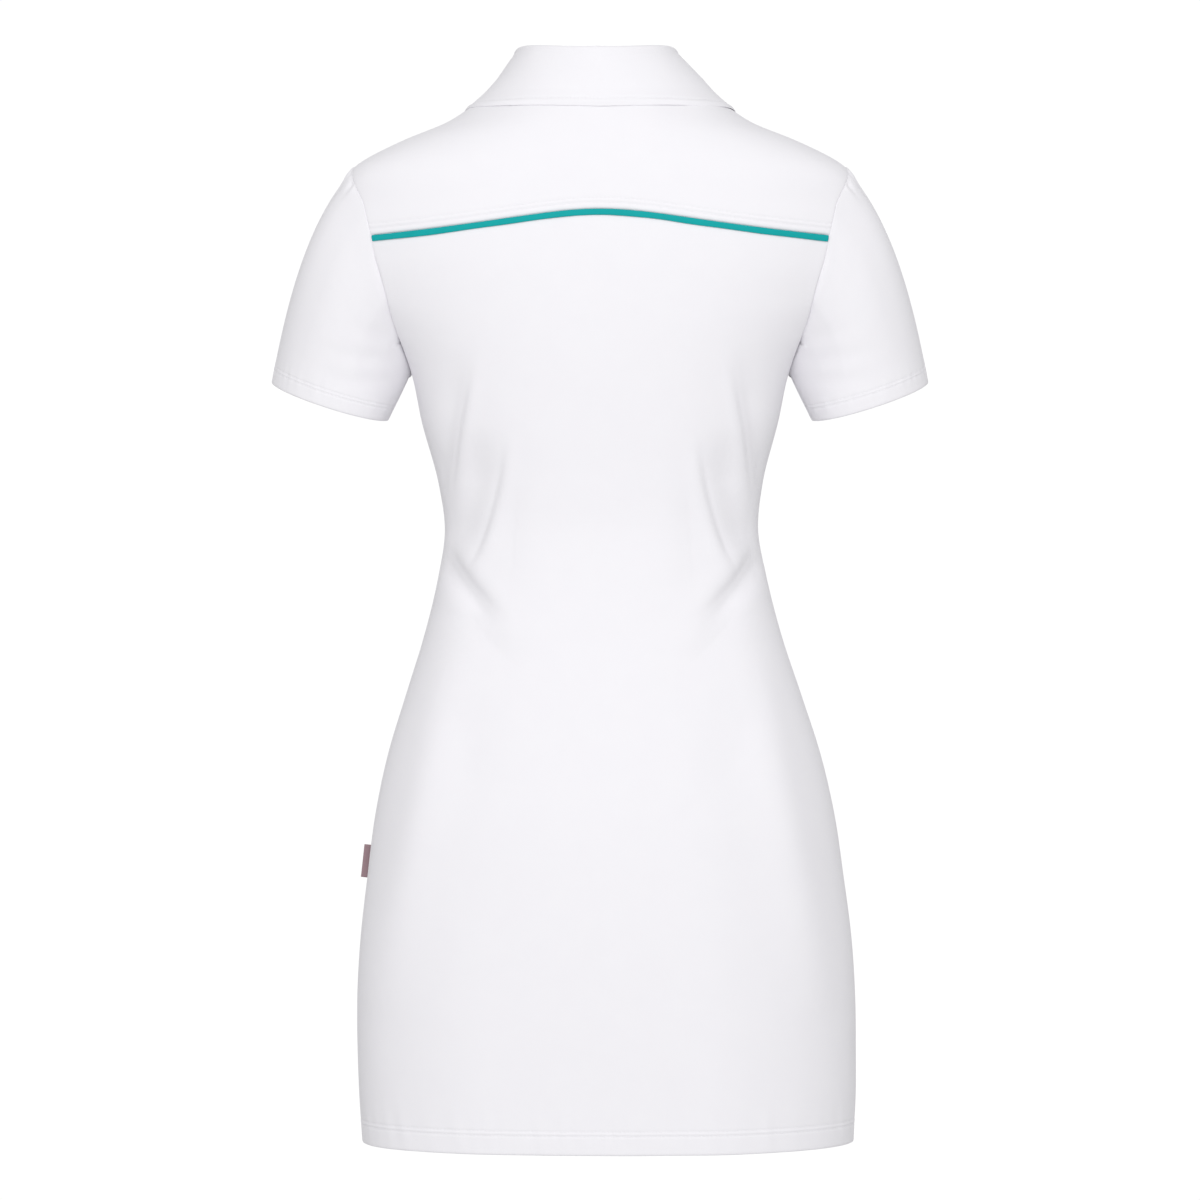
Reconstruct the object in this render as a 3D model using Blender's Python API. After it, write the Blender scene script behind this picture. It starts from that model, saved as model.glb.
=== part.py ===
"""A woman's short polo dress with a fold-over collar, a back yoke with a flat teal piping and
short sleeves gathered into the shoulder. It stands open as it does when worn, with nobody in it.

The front faces -Y, +Z is up, and the origin is in the middle of the neck, level with the inner
ends of the shoulder seams. Tables and sizes are in millimetres, and MM turns them into metres
when a mesh is made. Each piece of cloth is a closed wall: a grid of points on the outer face and
a second grid one thickness behind it.
"""

from collections import namedtuple
from functools import lru_cache
import math

import bpy
import numpy as np

MM = 0.001

# Cloth and seams
CLOTH = 1.5
SEAM_GAP = 0.4
HEM_FOLD = 24.0
HEM_STEP = 2.0
HEM_EXTRA = 1.2
SLEEVE_HEM = 14.0

# The body's rings run from the hem to the neck. A ring is named by the height of its side point.
# power is the ring's squareness: 2 is an ellipse.
Ring = namedtuple("Ring", "side_z side_x back_y back_z front_y front_z power centre_x")
RINGS = [
    Ring(-848, 195.0, 118, -848, 118, -848, 2.25, -5.8),
    Ring(-812, 197.0, 119, -812, 119, -812, 2.25, -5.4),
    Ring(-780, 197.7, 120, -780, 120, -780, 2.25, -4.8),
    Ring(-732, 197.6, 121, -732, 120, -732, 2.25, -4.4),
    Ring(-684, 194.8, 121, -684, 118, -684, 2.25, -4.4),
    Ring(-636, 189.2, 119, -636, 115, -636, 2.25, -4.2),
    Ring(-588, 183.0, 115, -588, 111, -588, 2.25, -3.8),
    Ring(-540, 172.8, 107, -540, 106, -540, 2.25, -3.3),
    Ring(-492, 158.0, 98, -492, 101, -492, 2.25, -2.9),
    Ring(-444, 142.8, 89, -444, 97, -444, 2.25, -2.3),
    Ring(-396, 130.9, 83, -396, 94, -396, 2.25, -1.8),
    Ring(-360, 125.2, 81, -360, 94, -360, 2.25, -1.2),
    Ring(-324, 129.4, 84, -324, 98, -324, 2.25, -0.6),
    Ring(-276, 142.0, 90, -276, 109, -278, 2.3, 0.0),
    Ring(-227, 153.5, 96, -225, 116, -242, 2.35, 0.0),
    Ring(-185, 175.0, 99, -182, 114, -210, 2.4, 0.0),
    Ring(-145, 195.0, 100, -141, 108, -180, 2.45, 0.0),
    Ring(-107, 203.0, 98, -103, 101, -152, 2.4, 0.0),
    Ring(-69, 194.0, 92, -66, 92, -124, 2.35, 0.0),
    Ring(-50, 158.0, 86, -48, 87, -110, 2.3, 0.0),
    Ring(-36, 124.0, 81, -35, 83, -99, 2.2, 0.0),
    Ring(-23, 104.0, 76, -25, 79, -91, 2.1, 0.0),
    Ring(0, 78.0, 68, -8, 71, -75, 2.0, 0.0),
]
HEM_Z = RINGS[0].side_z
SHOULDER_TIP_Z = -69
UNDERARM_Z = -234
NECK_Z = 0

# The armhole is an egg on the body, as seen from the side. Its back half is fullest above its
# middle, squarer at the shoulder tip, and runs in towards the underarm.
ARMHOLE_HEIGHT = 0.5 * (SHOULDER_TIP_Z - UNDERARM_Z)
ARMHOLE_CENTRE_Z = 0.5 * (SHOULDER_TIP_Z + UNDERARM_Z)
ARMHOLE_BACK = 50.0
ARMHOLE_BACK_FULL = 20.0
ARMHOLE_BACK_NARROW = 16.0
ARMHOLE_TOP_POWER = 0.78
ARMHOLE_FRONT = 60.0
ARMHOLE_ANGLES = [180, 158, 138, 120, 104, 90, 74, 58, 40, 20, 0]
YOKE_ANGLE = 74

# Back yoke: its lower seam rises in the middle, and the piping hangs from it
YOKE_ARCH = 14.4
YOKE_ARCH_POWER = 0.7
PIPING_WIDTH = 5.0
PIPING_THICK = 0.9
PIPING_INSET = 0.014
PIPING_GAP = 0.5

# Soft drag lines beside the waist, on the back. Each runs through three points, on both sides.
Fold = namedtuple("Fold", "x1 z1 x2 z2 x3 z3 width depth")
BACK_FOLDS = [
    Fold(98, -232, 109, -290, 117, -352, 8.0, 2.2),
    Fold(75, -296, 84, -338, 101, -378, 7.5, 3.4),
    Fold(119, -378, 101, -398, 78, -424, 8.5, 4.2),
]
FOLD_STEPS = 16
FOLD_RIDGE = 0.4

# Columns crowd towards the sides, where the cloth turns and the drag lines lie
BACK_COLUMNS = 26
FRONT_COLUMNS = 9
COLUMN_CROWDING = 0.42

# Heights of the rows below the armhole
SKIRT_LEVELS = [-776, -728, -676, -624, -576, -530, -484, -446]
BACK_WAIST_LEVELS = [-424, -406, -390, -372, -352, -330, -304, -276, -250]
FRONT_WAIST_LEVELS = [-404, -364, -324, -284, -252]
SHOULDER_LEVELS = [-54, -40, -26, -12]
FRONT_NECK_LEVELS = [-52, -36, -18]

# Placket: a slot in the front, an upper band over it and an under band behind it
PLACKET_LENGTH_LEVEL = -196
PLACKET_WIDTH = 30.0
PLACKET_TAIL = 9.0
SLOT_WIDTH = 24.0
BAND_THICK = 1.6
UPPER_BAND_LIFT = 0.45
UNDER_BAND_DROP = 0.55
BUTTON_RADIUS = 5.6
BUTTON_THICK = 2.4
BUTTON_LEVELS = [-22, -86, -150]

# Collar: for each angle round the neck, the fold's place over the seam and where the edge lies
CollarRow = namedtuple("CollarRow", "neck_angle fold_in fold_up edge_angle edge_level edge_lift")
COLLAR = [
    CollarRow(-88.2, 3.0, 22, -65.0, -80, 3.0),
    CollarRow(-75, 3.5, 22, -60.0, -70, 3.0),
    CollarRow(-50, 6.0, 22, -45.0, -50, 2.8),
    CollarRow(-25, 9.0, 23, -23.0, -32, 2.4),
    CollarRow(0, 15.5, 24, 0.0, -26, 2.0),
    CollarRow(45, 8.0, 27, 45.0, -26, 2.0),
    CollarRow(90, 2.0, 28, 90.0, -28, 1.6),
]
COLLAR_LEAN = 3.0
COLLAR_THICK = 2.0
COLLAR_FOLD_RADIUS = 3.2
COLLAR_CLEARANCE = 2.2
COLLAR_SEAM_RISE = 0.35
COLLAR_LEAF_DROP = 0.3
COLLAR_LEAF_SPREAD = (0.06, 0.012)
COLLAR_STAND_STEPS = 3
COLLAR_LEAF_STEPS = 5
COLLAR_FOLD_TURNS = [0, 45, 90, 135, 180]

# Sleeves: the cuff ring, and the cloth's direction at both ends of the sleeve
CUFF_CENTRE = (216.6, -10.0, -256.8)
CUFF_WIDTH = 98.5
CUFF_DEPTH = 104.0
CUFF_TILT = 18.0
CUFF_PITCH = 8.0
SLEEVE_START = {"top": (0.64, 0.0, -0.77), "middle": (0.66, 0.16, -0.72), "under": (0.40, 0.0, -0.92)}
SLEEVE_END = {"top": (0.17, 0.0, -0.98), "middle": (0.29, -0.14, -0.95), "under": (0.43, 0.0, -0.90)}
SLEEVE_PULL = 0.35
SLEEVE_FRACTIONS = [0.0, 0.06, 0.15, 0.3, 0.5, 0.75, 1.0]
GATHERS = 4
GATHER_SPREAD = 38.0
GATHER_COLUMNS = 16
GATHER_DEPTH = 2.0
GATHER_PEAK = 7.0

# Woven tab in the left side seam
TAB_TOP = -612
TAB_BOTTOM = -638
TAB_REACH = 6.0
TAB_THICK = 1.0

WHITE = (0.90, 0.90, 0.915, 1.0)
TEAL = (0.010, 0.42, 0.39, 1.0)
PEARL = (0.86, 0.86, 0.85, 1.0)
MAUVE = (0.30, 0.20, 0.22, 1.0)


def clear_scene():
    for obj in list(bpy.data.objects):
        bpy.data.objects.remove(obj)


def eased(at, knots, values):
    """A smooth curve through a table's values, with each knot's slope taken from its neighbours.
    Where values is a table of columns, at ends in an axis of length one that the columns fill."""
    at, knots, values = (np.asarray(v, float) for v in (at, knots, values))
    steps = np.diff(knots)
    wide = steps if values.ndim == 1 else steps[:, None]
    rises = np.diff(values, axis=0) / wide
    slopes = np.empty_like(values)
    slopes[0], slopes[-1] = rises[0], rises[-1]
    slopes[1:-1] = (rises[:-1] * wide[1:] + rises[1:] * wide[:-1]) / (wide[1:] + wide[:-1])
    i = np.clip(np.searchsorted(knots, at) - 1, 0, len(steps) - 1)
    low, high = (i, i + 1) if values.ndim == 1 else (i[..., 0], i[..., 0] + 1)
    h = steps[i]
    t = (at - knots[i]) / h
    before = values[low] + slopes[low] * t * h
    after = values[high] + slopes[high] * (t - 1) * h
    between = (
        values[low] * (1 + 2 * t) * (1 - t) ** 2
        + slopes[low] * h * t * (1 - t) ** 2
        + values[high] * t * t * (3 - 2 * t)
        - slopes[high] * h * t * t * (1 - t)
    )
    return np.where(t < 0, before, np.where(t > 1, after, between))


RING_LEVELS = np.array([ring.side_z for ring in RINGS], float)
RING_VALUES = np.array(RINGS, float)


def ring_at(level):
    """Every column of the ring table at a level, in one array whose last axis is the columns."""
    level = np.asarray(level, float)
    return eased(level[..., None], RING_LEVELS, RING_VALUES)


def ring_value(column, level):
    return ring_at(level)[..., Ring._fields.index(column)]


def body(angle, level):
    """The point of the dress's outer surface at an angle round the body, on the ring of that level.
    Angle 0 is the wearer's left side, and a quarter turn is the middle of the back."""
    angle, level = np.broadcast_arrays(np.asarray(angle, float), np.asarray(level, float))
    c, s = np.cos(angle), np.sin(angle)
    _, width, back_y, back_z, front_y, front_z, power, centre_x = np.moveaxis(ring_at(level), -1, 0)
    at_back = s >= 0
    depth = np.where(at_back, back_y, front_y)
    centre_z = np.where(at_back, back_z, front_z)
    reach = (np.abs(c / width) ** power + np.abs(s / depth) ** power) ** (-1 / power)
    return np.stack([centre_x + reach * c, reach * s, level + (centre_z - level) * s * s], axis=-1)


def unit(v):
    return v / np.linalg.norm(v, axis=-1, keepdims=True)


def body_frame(angle, level):
    """(outward normal, direction up the cloth) of the body's surface."""
    d_angle, d_level = 1e-3, 0.2
    across = body(angle + d_angle, level) - body(angle - d_angle, level)
    up = body(angle, level + d_level) - body(angle, level - d_level)
    return unit(np.cross(across, up)), unit(up)


def fold_depth(points):
    """How far the drag lines push the cloth of the back inwards (negative) or out, in mm."""
    x, y, z = np.abs(points[..., 0]), points[..., 1], points[..., 2]
    moved = np.zeros_like(x)
    t = np.linspace(0, 1, FOLD_STEPS)
    for f in BACK_FOLDS:
        line_x = f.x1 * (1 - t) ** 2 + f.x2 * 2 * t * (1 - t) + f.x3 * t * t
        line_z = f.z1 * (1 - t) ** 2 + f.z2 * 2 * t * (1 - t) + f.z3 * t * t
        distance = np.hypot(x[..., None] - line_x, z[..., None] - line_z)
        nearest = distance.argmin(axis=-1)
        gap = distance.min(axis=-1) / f.width
        strength = np.sin(math.pi * np.clip(t[nearest], 0.04, 0.96)) ** 0.6
        trough = np.exp(-gap * gap)
        ridge = FOLD_RIDGE * np.exp(-((gap - 1.9) ** 2) / 0.6)
        moved += f.depth * strength * (ridge - trough)
    return np.where(y > 0, moved, 0.0)


def cloth_points(angle, level, lift=0.0, thick=CLOTH):
    """Outer and inner grids of a piece of body cloth, lifted off the body's surface by lift."""
    flat = body(angle, level)
    normal, _ = body_frame(angle, level)
    outer = flat + normal * (fold_depth(flat) + lift)[..., None]
    return outer, outer - normal * np.broadcast_to(thick, flat.shape[:-1])[..., None]


def closed_wall(name, outer, inner, colour, keep=None, roughness=0.85):
    """Makes one closed solid from two grids of points and the cells to keep, and shades it smooth."""
    rows, columns = outer.shape[:2]
    if keep is None:
        keep = np.ones((rows - 1, columns - 1), bool)
    index = np.arange(rows * columns).reshape(rows, columns)
    behind = index + rows * columns
    faces = []

    def add(quad, flip_diagonal):
        a, b, c, d = quad
        faces.extend([(a, b, c), (a, c, d)] if flip_diagonal else [(a, b, d), (b, c, d)])

    for i, j in zip(*np.nonzero(keep)):
        corners = [(i, j), (i, j + 1), (i + 1, j + 1), (i + 1, j)]
        shorter = np.linalg.norm(outer[corners[0]] - outer[corners[2]]) < np.linalg.norm(
            outer[corners[1]] - outer[corners[3]]
        )
        add([index[k] for k in corners], shorter)
        back = [(b, a, c) for a, b, c in faces[-2:]]
        faces.extend(tuple(int(v) + rows * columns for v in face) for face in back)
        for side in range(4):
            first, second = corners[side], corners[(side + 1) % 4]
            step = [(-1, 0), (0, 1), (1, 0), (0, -1)][side]
            ni, nj = i + step[0], j + step[1]
            inside = 0 <= ni < rows - 1 and 0 <= nj < columns - 1 and keep[ni, nj]
            if not inside:
                add([index[second], index[first], behind[first], behind[second]], True)

    points = np.concatenate([outer.reshape(-1, 3), inner.reshape(-1, 3)])
    return solid(name, points, faces, colour, roughness)


def solid(name, points, faces, colour, roughness=0.85):
    faces = np.asarray(faces, int)
    used, renumbered = np.unique(faces, return_inverse=True)
    points, faces = points[used], renumbered.reshape(faces.shape)
    a, b, c = (points[faces[:, k]] for k in range(3))
    if (a * np.cross(b, c)).sum() < 0:
        faces = faces[:, ::-1]
    mesh = bpy.data.meshes.new(name)
    mesh.from_pydata((points * MM).tolist(), [], faces.tolist())
    mesh.shade_smooth()
    mesh.set_sharp_from_angle(angle=math.radians(40))
    obj = bpy.data.objects.new(name, mesh)
    bpy.context.scene.collection.objects.link(obj)
    obj.data.materials.append(material(name, colour, roughness))
    return obj


def material(name, colour, roughness):
    made = bpy.data.materials.new(name)
    made.use_nodes = True
    shader = made.node_tree.nodes["Principled BSDF"]
    shader.inputs["Base Color"].default_value = colour
    shader.inputs["Roughness"].default_value = roughness
    shader.inputs["Metallic"].default_value = 0.0
    return made


@lru_cache(maxsize=None)
def armhole_place(turn, grow=0.0):
    """(angle, level) on the body of the armhole's edge, for a turn in degrees round the armhole:
    0 at the shoulder tip, 90 at the back, 180 under the arm, and negative at the front."""
    c, s = math.cos(math.radians(turn)), math.sin(math.radians(turn))
    back = ARMHOLE_BACK + ARMHOLE_BACK_FULL * c - ARMHOLE_BACK_NARROW * c * c
    across = max(s, 0.0) ** ARMHOLE_TOP_POWER if c > 0 else s
    want_y = (back + grow) * across if turn >= 0 else (ARMHOLE_FRONT + grow) * s
    want_z = ARMHOLE_CENTRE_Z + (ARMHOLE_HEIGHT + grow) * c
    angle, level = 0.0, want_z
    sign = 1 if want_y >= 0 else -1
    tries = np.linspace(0, 0.5 * math.pi, 181)
    for _ in range(8):
        reached = np.abs(body(sign * tries, level)[:, 1])
        angle = sign * float(np.interp(abs(want_y), reached, tries))
        level += float(want_z - body(angle, level)[2])
    return angle, level


LEVEL_TRIES = np.linspace(HEM_Z, NECK_Z, 400)


def level_at(angle, want_z):
    """The level whose ring passes the height want_z at that angle."""
    return float(np.interp(want_z, body(angle, LEVEL_TRIES)[:, 2], LEVEL_TRIES))


def crowded(count):
    """Fractions from 0 to 1 that lie closer together towards both ends."""
    s = np.linspace(0, 1, count + 1)
    return s - COLUMN_CROWDING * np.sin(2 * math.pi * s) / (2 * math.pi)


def side_inset(level):
    return 0.5 * SEAM_GAP / float(ring_value("side_x", level))


def yoke_arch(fractions):
    """Rise of the yoke seam over its ends, in mm, for fractions across the back."""
    return YOKE_ARCH * (0.5 - 0.5 * np.cos(2 * math.pi * fractions)) ** YOKE_ARCH_POWER


def body_rows(turns, levels_below, levels_above):
    """[(edge angle, level)] from the hem's fold to the neck, with the armhole's rows between."""
    rows = [(side_inset(level), level) for level in levels_below]
    for turn in turns:
        angle, level = armhole_place(turn)
        rows.append((max(abs(angle), side_inset(level)), level))
    return rows + [(side_inset(level), level) for level in levels_above]


def hem_thickness(levels, hem_top):
    return np.where(levels < hem_top - 0.5 * HEM_STEP, CLOTH + HEM_EXTRA, CLOTH)


def hem_levels():
    fold_top = HEM_Z + HEM_FOLD
    return [HEM_Z, fold_top - HEM_STEP, fold_top]


def make_back():
    """The back panel from the hem up to the yoke seam, cut out at both armholes."""
    fractions = crowded(BACK_COLUMNS)
    turns = [a for a in ARMHOLE_ANGLES if a >= YOKE_ANGLE]
    rows = body_rows(turns, hem_levels() + SKIRT_LEVELS + BACK_WAIST_LEVELS, [])
    first = len(rows) - len(turns)
    share = np.clip((np.arange(len(rows)) - first) / (len(turns) - 1), 0, 1) ** 1.5
    angles = np.array([edge + (math.pi - 2 * edge) * fractions for edge, _ in rows])
    levels = np.array([level + s * yoke_arch(fractions) for (_, level), s in zip(rows, share)])
    levels[-1] -= 0.5 * SEAM_GAP
    outer, inner = cloth_points(angles, levels, thick=hem_thickness(levels, HEM_Z + HEM_FOLD))
    closed_wall("back_panel", outer, inner, WHITE)


def make_yoke():
    """The back yoke, from its arched seam over the shoulder blades to the shoulder seams and neck."""
    fractions = crowded(BACK_COLUMNS)
    turns = [a for a in ARMHOLE_ANGLES if a <= YOKE_ANGLE]
    rows = body_rows(turns, [], SHOULDER_LEVELS + [NECK_Z - 0.5 * SEAM_GAP])
    share = np.clip(1 - np.arange(len(rows)) / (len(turns) - 1), 0, 1)
    angles = np.array([edge + (math.pi - 2 * edge) * fractions for edge, _ in rows])
    levels = np.array([level + s * yoke_arch(fractions) for (_, level), s in zip(rows, share)])
    levels[0] += 0.5 * SEAM_GAP
    outer, inner = cloth_points(angles, levels)
    closed_wall("back_yoke", outer, inner, WHITE)


def make_piping():
    """A flat folded strip caught in the yoke seam, hanging over the top of the back panel."""
    fractions = crowded(BACK_COLUMNS)
    edge, level = armhole_place(YOKE_ANGLE)
    angles = edge + PIPING_INSET + (math.pi - 2 * (edge + PIPING_INSET)) * fractions
    seam = level + yoke_arch(fractions)
    drops = np.array([PIPING_WIDTH + 0.5 * SEAM_GAP, 0.5 * SEAM_GAP])
    outer, inner = cloth_points(
        np.broadcast_to(angles, (2, len(angles))),
        seam - drops[:, None],
        lift=PIPING_GAP + PIPING_THICK,
        thick=PIPING_THICK,
    )
    closed_wall("yoke_piping", outer, inner, TEAL, roughness=0.6)


def front_grid():
    """Angles and levels of the front panel, and the row where the placket's slot ends."""
    turns = ARMHOLE_ANGLES
    rows = body_rows(
        turns,
        hem_levels() + SKIRT_LEVELS + FRONT_WAIST_LEVELS,
        FRONT_NECK_LEVELS + [NECK_Z - 0.5 * SEAM_GAP],
    )
    for k, turn in enumerate(turns):
        angle, level = armhole_place(-turn)
        rows[len(rows) - len(FRONT_NECK_LEVELS) - 1 - len(turns) + k] = (
            max(abs(angle), side_inset(level)),
            level,
        )
    levels_list = [level for _, level in rows]
    slot_row = int(np.argmin([abs(level - PLACKET_LENGTH_LEVEL) for level in levels_list]))
    s = np.linspace(0, 1, FRONT_COLUMNS + 1)
    fractions = s + COLUMN_CROWDING * (s * s - s)
    angles, levels = [], []
    for edge, level in rows:
        depth = float(ring_value("front_y", level))
        slot = math.asin(0.5 * SLOT_WIDTH / depth)
        right = -edge - (0.5 * math.pi - slot - edge) * fractions
        left = -math.pi - right[::-1]
        angles.append(np.concatenate([right, left]))
        levels.append(np.full(len(right) * 2, level))
    return np.array(angles), np.array(levels), slot_row


def make_front():
    """The front panel, from hem to shoulder seams and neck, with a slot for the placket."""
    angles, levels, slot_row = front_grid()
    outer, inner = cloth_points(angles, levels, thick=hem_thickness(levels, HEM_Z + HEM_FOLD))
    keep = np.ones((len(angles) - 1, angles.shape[1] - 1), bool)
    keep[slot_row:, FRONT_COLUMNS] = False
    closed_wall("front_panel", outer, inner, WHITE, keep)


def band_grid(levels, half_left, half_right):
    """Angles of a strip that follows the middle of the front between two widths."""
    depth = ring_value("front_y", levels)
    across = np.linspace(-half_right, half_left, 5)
    angles = -0.5 * math.pi + np.arcsin(across[None, :] / depth[:, None])
    return angles, np.broadcast_to(levels[:, None], angles.shape)


def make_placket():
    """The upper band, right over left, and the under band behind the slot."""
    angles, levels, slot_row = front_grid()
    slot_levels = levels[slot_row:, 0]
    upper = np.concatenate([[slot_levels[0] - PLACKET_TAIL], slot_levels])
    half = 0.5 * PLACKET_WIDTH
    grid = band_grid(upper, half, half)
    outer, inner = cloth_points(*grid, lift=UPPER_BAND_LIFT + BAND_THICK, thick=BAND_THICK)
    closed_wall("placket_upper", outer, inner, WHITE)
    grid = band_grid(upper, half, half)
    outer, inner = cloth_points(*grid, lift=-CLOTH - UNDER_BAND_DROP, thick=BAND_THICK)
    closed_wall("placket_under", outer, inner, WHITE)


def make_buttons():
    """Three round buttons with a raised rim, each resting on the upper band."""
    profile = [(0.0, 0.7), (0.62, 0.7), (0.74, 1.0), (0.92, 1.0), (1.0, 0.72), (1.0, 0.3), (0.9, 0.0), (0.0, 0.0)]
    sides = 14
    lift = UPPER_BAND_LIFT + BAND_THICK + SEAM_GAP
    for number, level in enumerate(BUTTON_LEVELS, 1):
        centre = body(-0.5 * math.pi, level)
        normal, up = body_frame(-0.5 * math.pi, level)
        across = np.cross(up, normal)
        points, faces = [], []
        for reach, height in profile:
            for k in range(sides if reach else 1):
                turn = 2 * math.pi * k / sides
                spread = across * math.cos(turn) + up * math.sin(turn)
                points.append(
                    centre + normal * (lift + BUTTON_THICK * height) + spread * (BUTTON_RADIUS * reach)
                )
        ring_count = len(profile) - 2
        last = 1 + ring_count * sides
        for k in range(sides):
            n = (k + 1) % sides
            faces.append((0, 1 + k, 1 + n))
            for r in range(ring_count - 1):
                a, b = 1 + r * sides, 1 + (r + 1) * sides
                faces.append((a + k, b + k, b + n))
                faces.append((a + k, b + n, a + n))
            low = 1 + (ring_count - 1) * sides
            faces.append((low + k, last, low + n))
        solid(f"button_{number}", np.array(points), faces, PEARL, roughness=0.3)


def collar_value(column, angle):
    return eased(angle, [row.neck_angle for row in COLLAR], [getattr(row, column) for row in COLLAR])


def bezier(p0, p1, p2, p3, t):
    return p0 * (1 - t) ** 3 + p1 * 3 * t * (1 - t) ** 2 + p2 * 3 * t * t * (1 - t) + p3 * t**3


def collar_profile(angle):
    """Points of the collar's visible face for one angle round the neck, from the seam inside the
    neck, up the stand, over the fold and down the leaf to its edge. Angle 90 is the back."""
    theta = math.radians(angle)
    seam = body(theta, NECK_Z)
    normal, up = body_frame(theta, NECK_Z)
    out = np.array([math.cos(theta), math.sin(theta), 0.0])
    lift = np.array([0.0, 0.0, 1.0])
    start = seam + up * COLLAR_SEAM_RISE - normal * COLLAR_THICK
    fold = seam - out * collar_value("fold_in", angle) + lift * (
        collar_value("fold_up", angle) - COLLAR_FOLD_RADIUS
    )
    into_fold = fold - out * COLLAR_FOLD_RADIUS
    height = np.linalg.norm(into_fold - start)
    stand = [
        bezier(start, start + up * 0.35 * height, into_fold - lift * 0.35 * height, into_fold, t)
        for t in np.arange(COLLAR_STAND_STEPS) / COLLAR_STAND_STEPS
    ]
    turns = [math.radians(t) for t in COLLAR_FOLD_TURNS]
    over = [fold + COLLAR_FOLD_RADIUS * (lift * math.sin(t) - out * math.cos(t)) for t in turns]
    edge_angle = math.radians(float(collar_value("edge_angle", angle)))
    edge_level = float(collar_value("edge_level", angle))
    edge_normal, edge_up = body_frame(edge_angle, edge_level)
    lifted = float(collar_value("edge_lift", angle)) + COLLAR_THICK
    edge = body(edge_angle, edge_level) + edge_normal * lifted
    length = np.linalg.norm(edge - over[-1])
    spread = COLLAR_LEAF_SPREAD[0] + COLLAR_LEAF_SPREAD[1] * collar_value("fold_in", angle)
    below_fold = over[-1] + (out * spread - lift * COLLAR_LEAF_DROP) * length
    above_edge = edge + edge_up * COLLAR_LEAF_DROP * length
    leaf = []
    for step in range(1, COLLAR_LEAF_STEPS + 1):
        t = step / COLLAR_LEAF_STEPS
        point = bezier(over[-1], below_fold, above_edge, edge, t)
        leaf.append(clear_of_body(point) if step < COLLAR_LEAF_STEPS else point)
    return np.array(stand + over + leaf)


def clear_of_body(point):
    """The point moved out from the neck's axis until it clears the body by the collar's room."""
    theta = math.atan2(point[1], point[0])
    if point[2] > body(theta, NECK_Z)[2]:
        return point
    on_body = body(theta, level_at(theta, point[2]))
    need = math.hypot(on_body[0], on_body[1]) + COLLAR_CLEARANCE + COLLAR_THICK
    have = math.hypot(point[0], point[1])
    return point * np.array([max(1.0, need / have)] * 2 + [1.0])


def grid_normals(grid):
    """Unit normals of a grid of points, from its neighbours along both ways."""
    return unit(np.cross(np.gradient(grid, axis=1), np.gradient(grid, axis=0)))


def collar_angles():
    """Angles in degrees from the collar's left front end to the middle of the back, at the same
    places as the points of the front panel's and the yoke's neck edges."""
    angles, _, _ = front_grid()
    front = np.degrees(angles[-1][:FRONT_COLUMNS + 1])[::-1]
    edge = side_inset(NECK_Z)
    back = np.degrees(edge + (math.pi - 2 * edge) * crowded(BACK_COLUMNS))
    return np.concatenate([[COLLAR[0].neck_angle], front[:-1], [0.0], back[1 : BACK_COLUMNS // 2 + 1]])


def make_collar():
    """One folded collar: a stand inside the neck and a leaf that turns down over the shoulders."""
    half = collar_angles()
    left = np.array([collar_profile(a) for a in half])
    right = left[-2::-1] * np.array([-1.0, 1.0, 1.0])
    face = np.concatenate([left, right])
    normals = grid_normals(face)
    start = body(math.radians(half[0]), NECK_Z)
    if normals[0, 0] @ start > 0:
        normals = -normals
    hidden = face - normals * COLLAR_THICK
    around = np.radians(np.concatenate([half, 180 - half[-2::-1]]))
    neck_normal, neck_up = body_frame(around, NECK_Z)
    hidden[:, 0] = body(around, NECK_Z) + neck_up * COLLAR_SEAM_RISE + neck_normal * 0.1
    for grid in (face, hidden):
        grid[..., 0] += COLLAR_LEAN * np.clip(grid[..., 2] / COLLAR[0].fold_up, 0, 1)
    closed_wall("collar", face, hidden, WHITE)


def mixed(ends, turn):
    """A direction round the sleeve, from its values at the top, at front or back, and underneath."""
    c, s = math.cos(turn), math.sin(turn)
    top, middle, under = (np.array(ends[k]) for k in ("top", "middle", "under"))
    middle = middle * np.array([1.0, math.copysign(1.0, s) if ends is SLEEVE_START else 1.0, 1.0])
    main = top if c >= 0 else under
    return unit(main * c * c + middle * s * s)


def cuff_point(turn):
    tilt, pitch = math.radians(CUFF_TILT), math.radians(CUFF_PITCH)
    across = np.array([math.cos(tilt), 0.0, math.sin(tilt)])
    back = np.array([0.0, math.cos(pitch), -math.sin(pitch)])
    return (
        np.array(CUFF_CENTRE)
        + across * 0.5 * CUFF_WIDTH * math.cos(turn)
        + back * 0.5 * CUFF_DEPTH * math.sin(turn)
    )


def sleeve_turns():
    """Turns round the armhole in degrees: the body's own, and more where the head is gathered."""
    base = [-t for t in ARMHOLE_ANGLES[:-1]] + ARMHOLE_ANGLES[::-1]
    gathered = np.linspace(-GATHER_SPREAD, GATHER_SPREAD, GATHER_COLUMNS + 1)
    outside = [t for t in base if abs(t) > GATHER_SPREAD + 1]
    return np.array(base, float), np.sort(np.concatenate([gathered, outside]))


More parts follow.
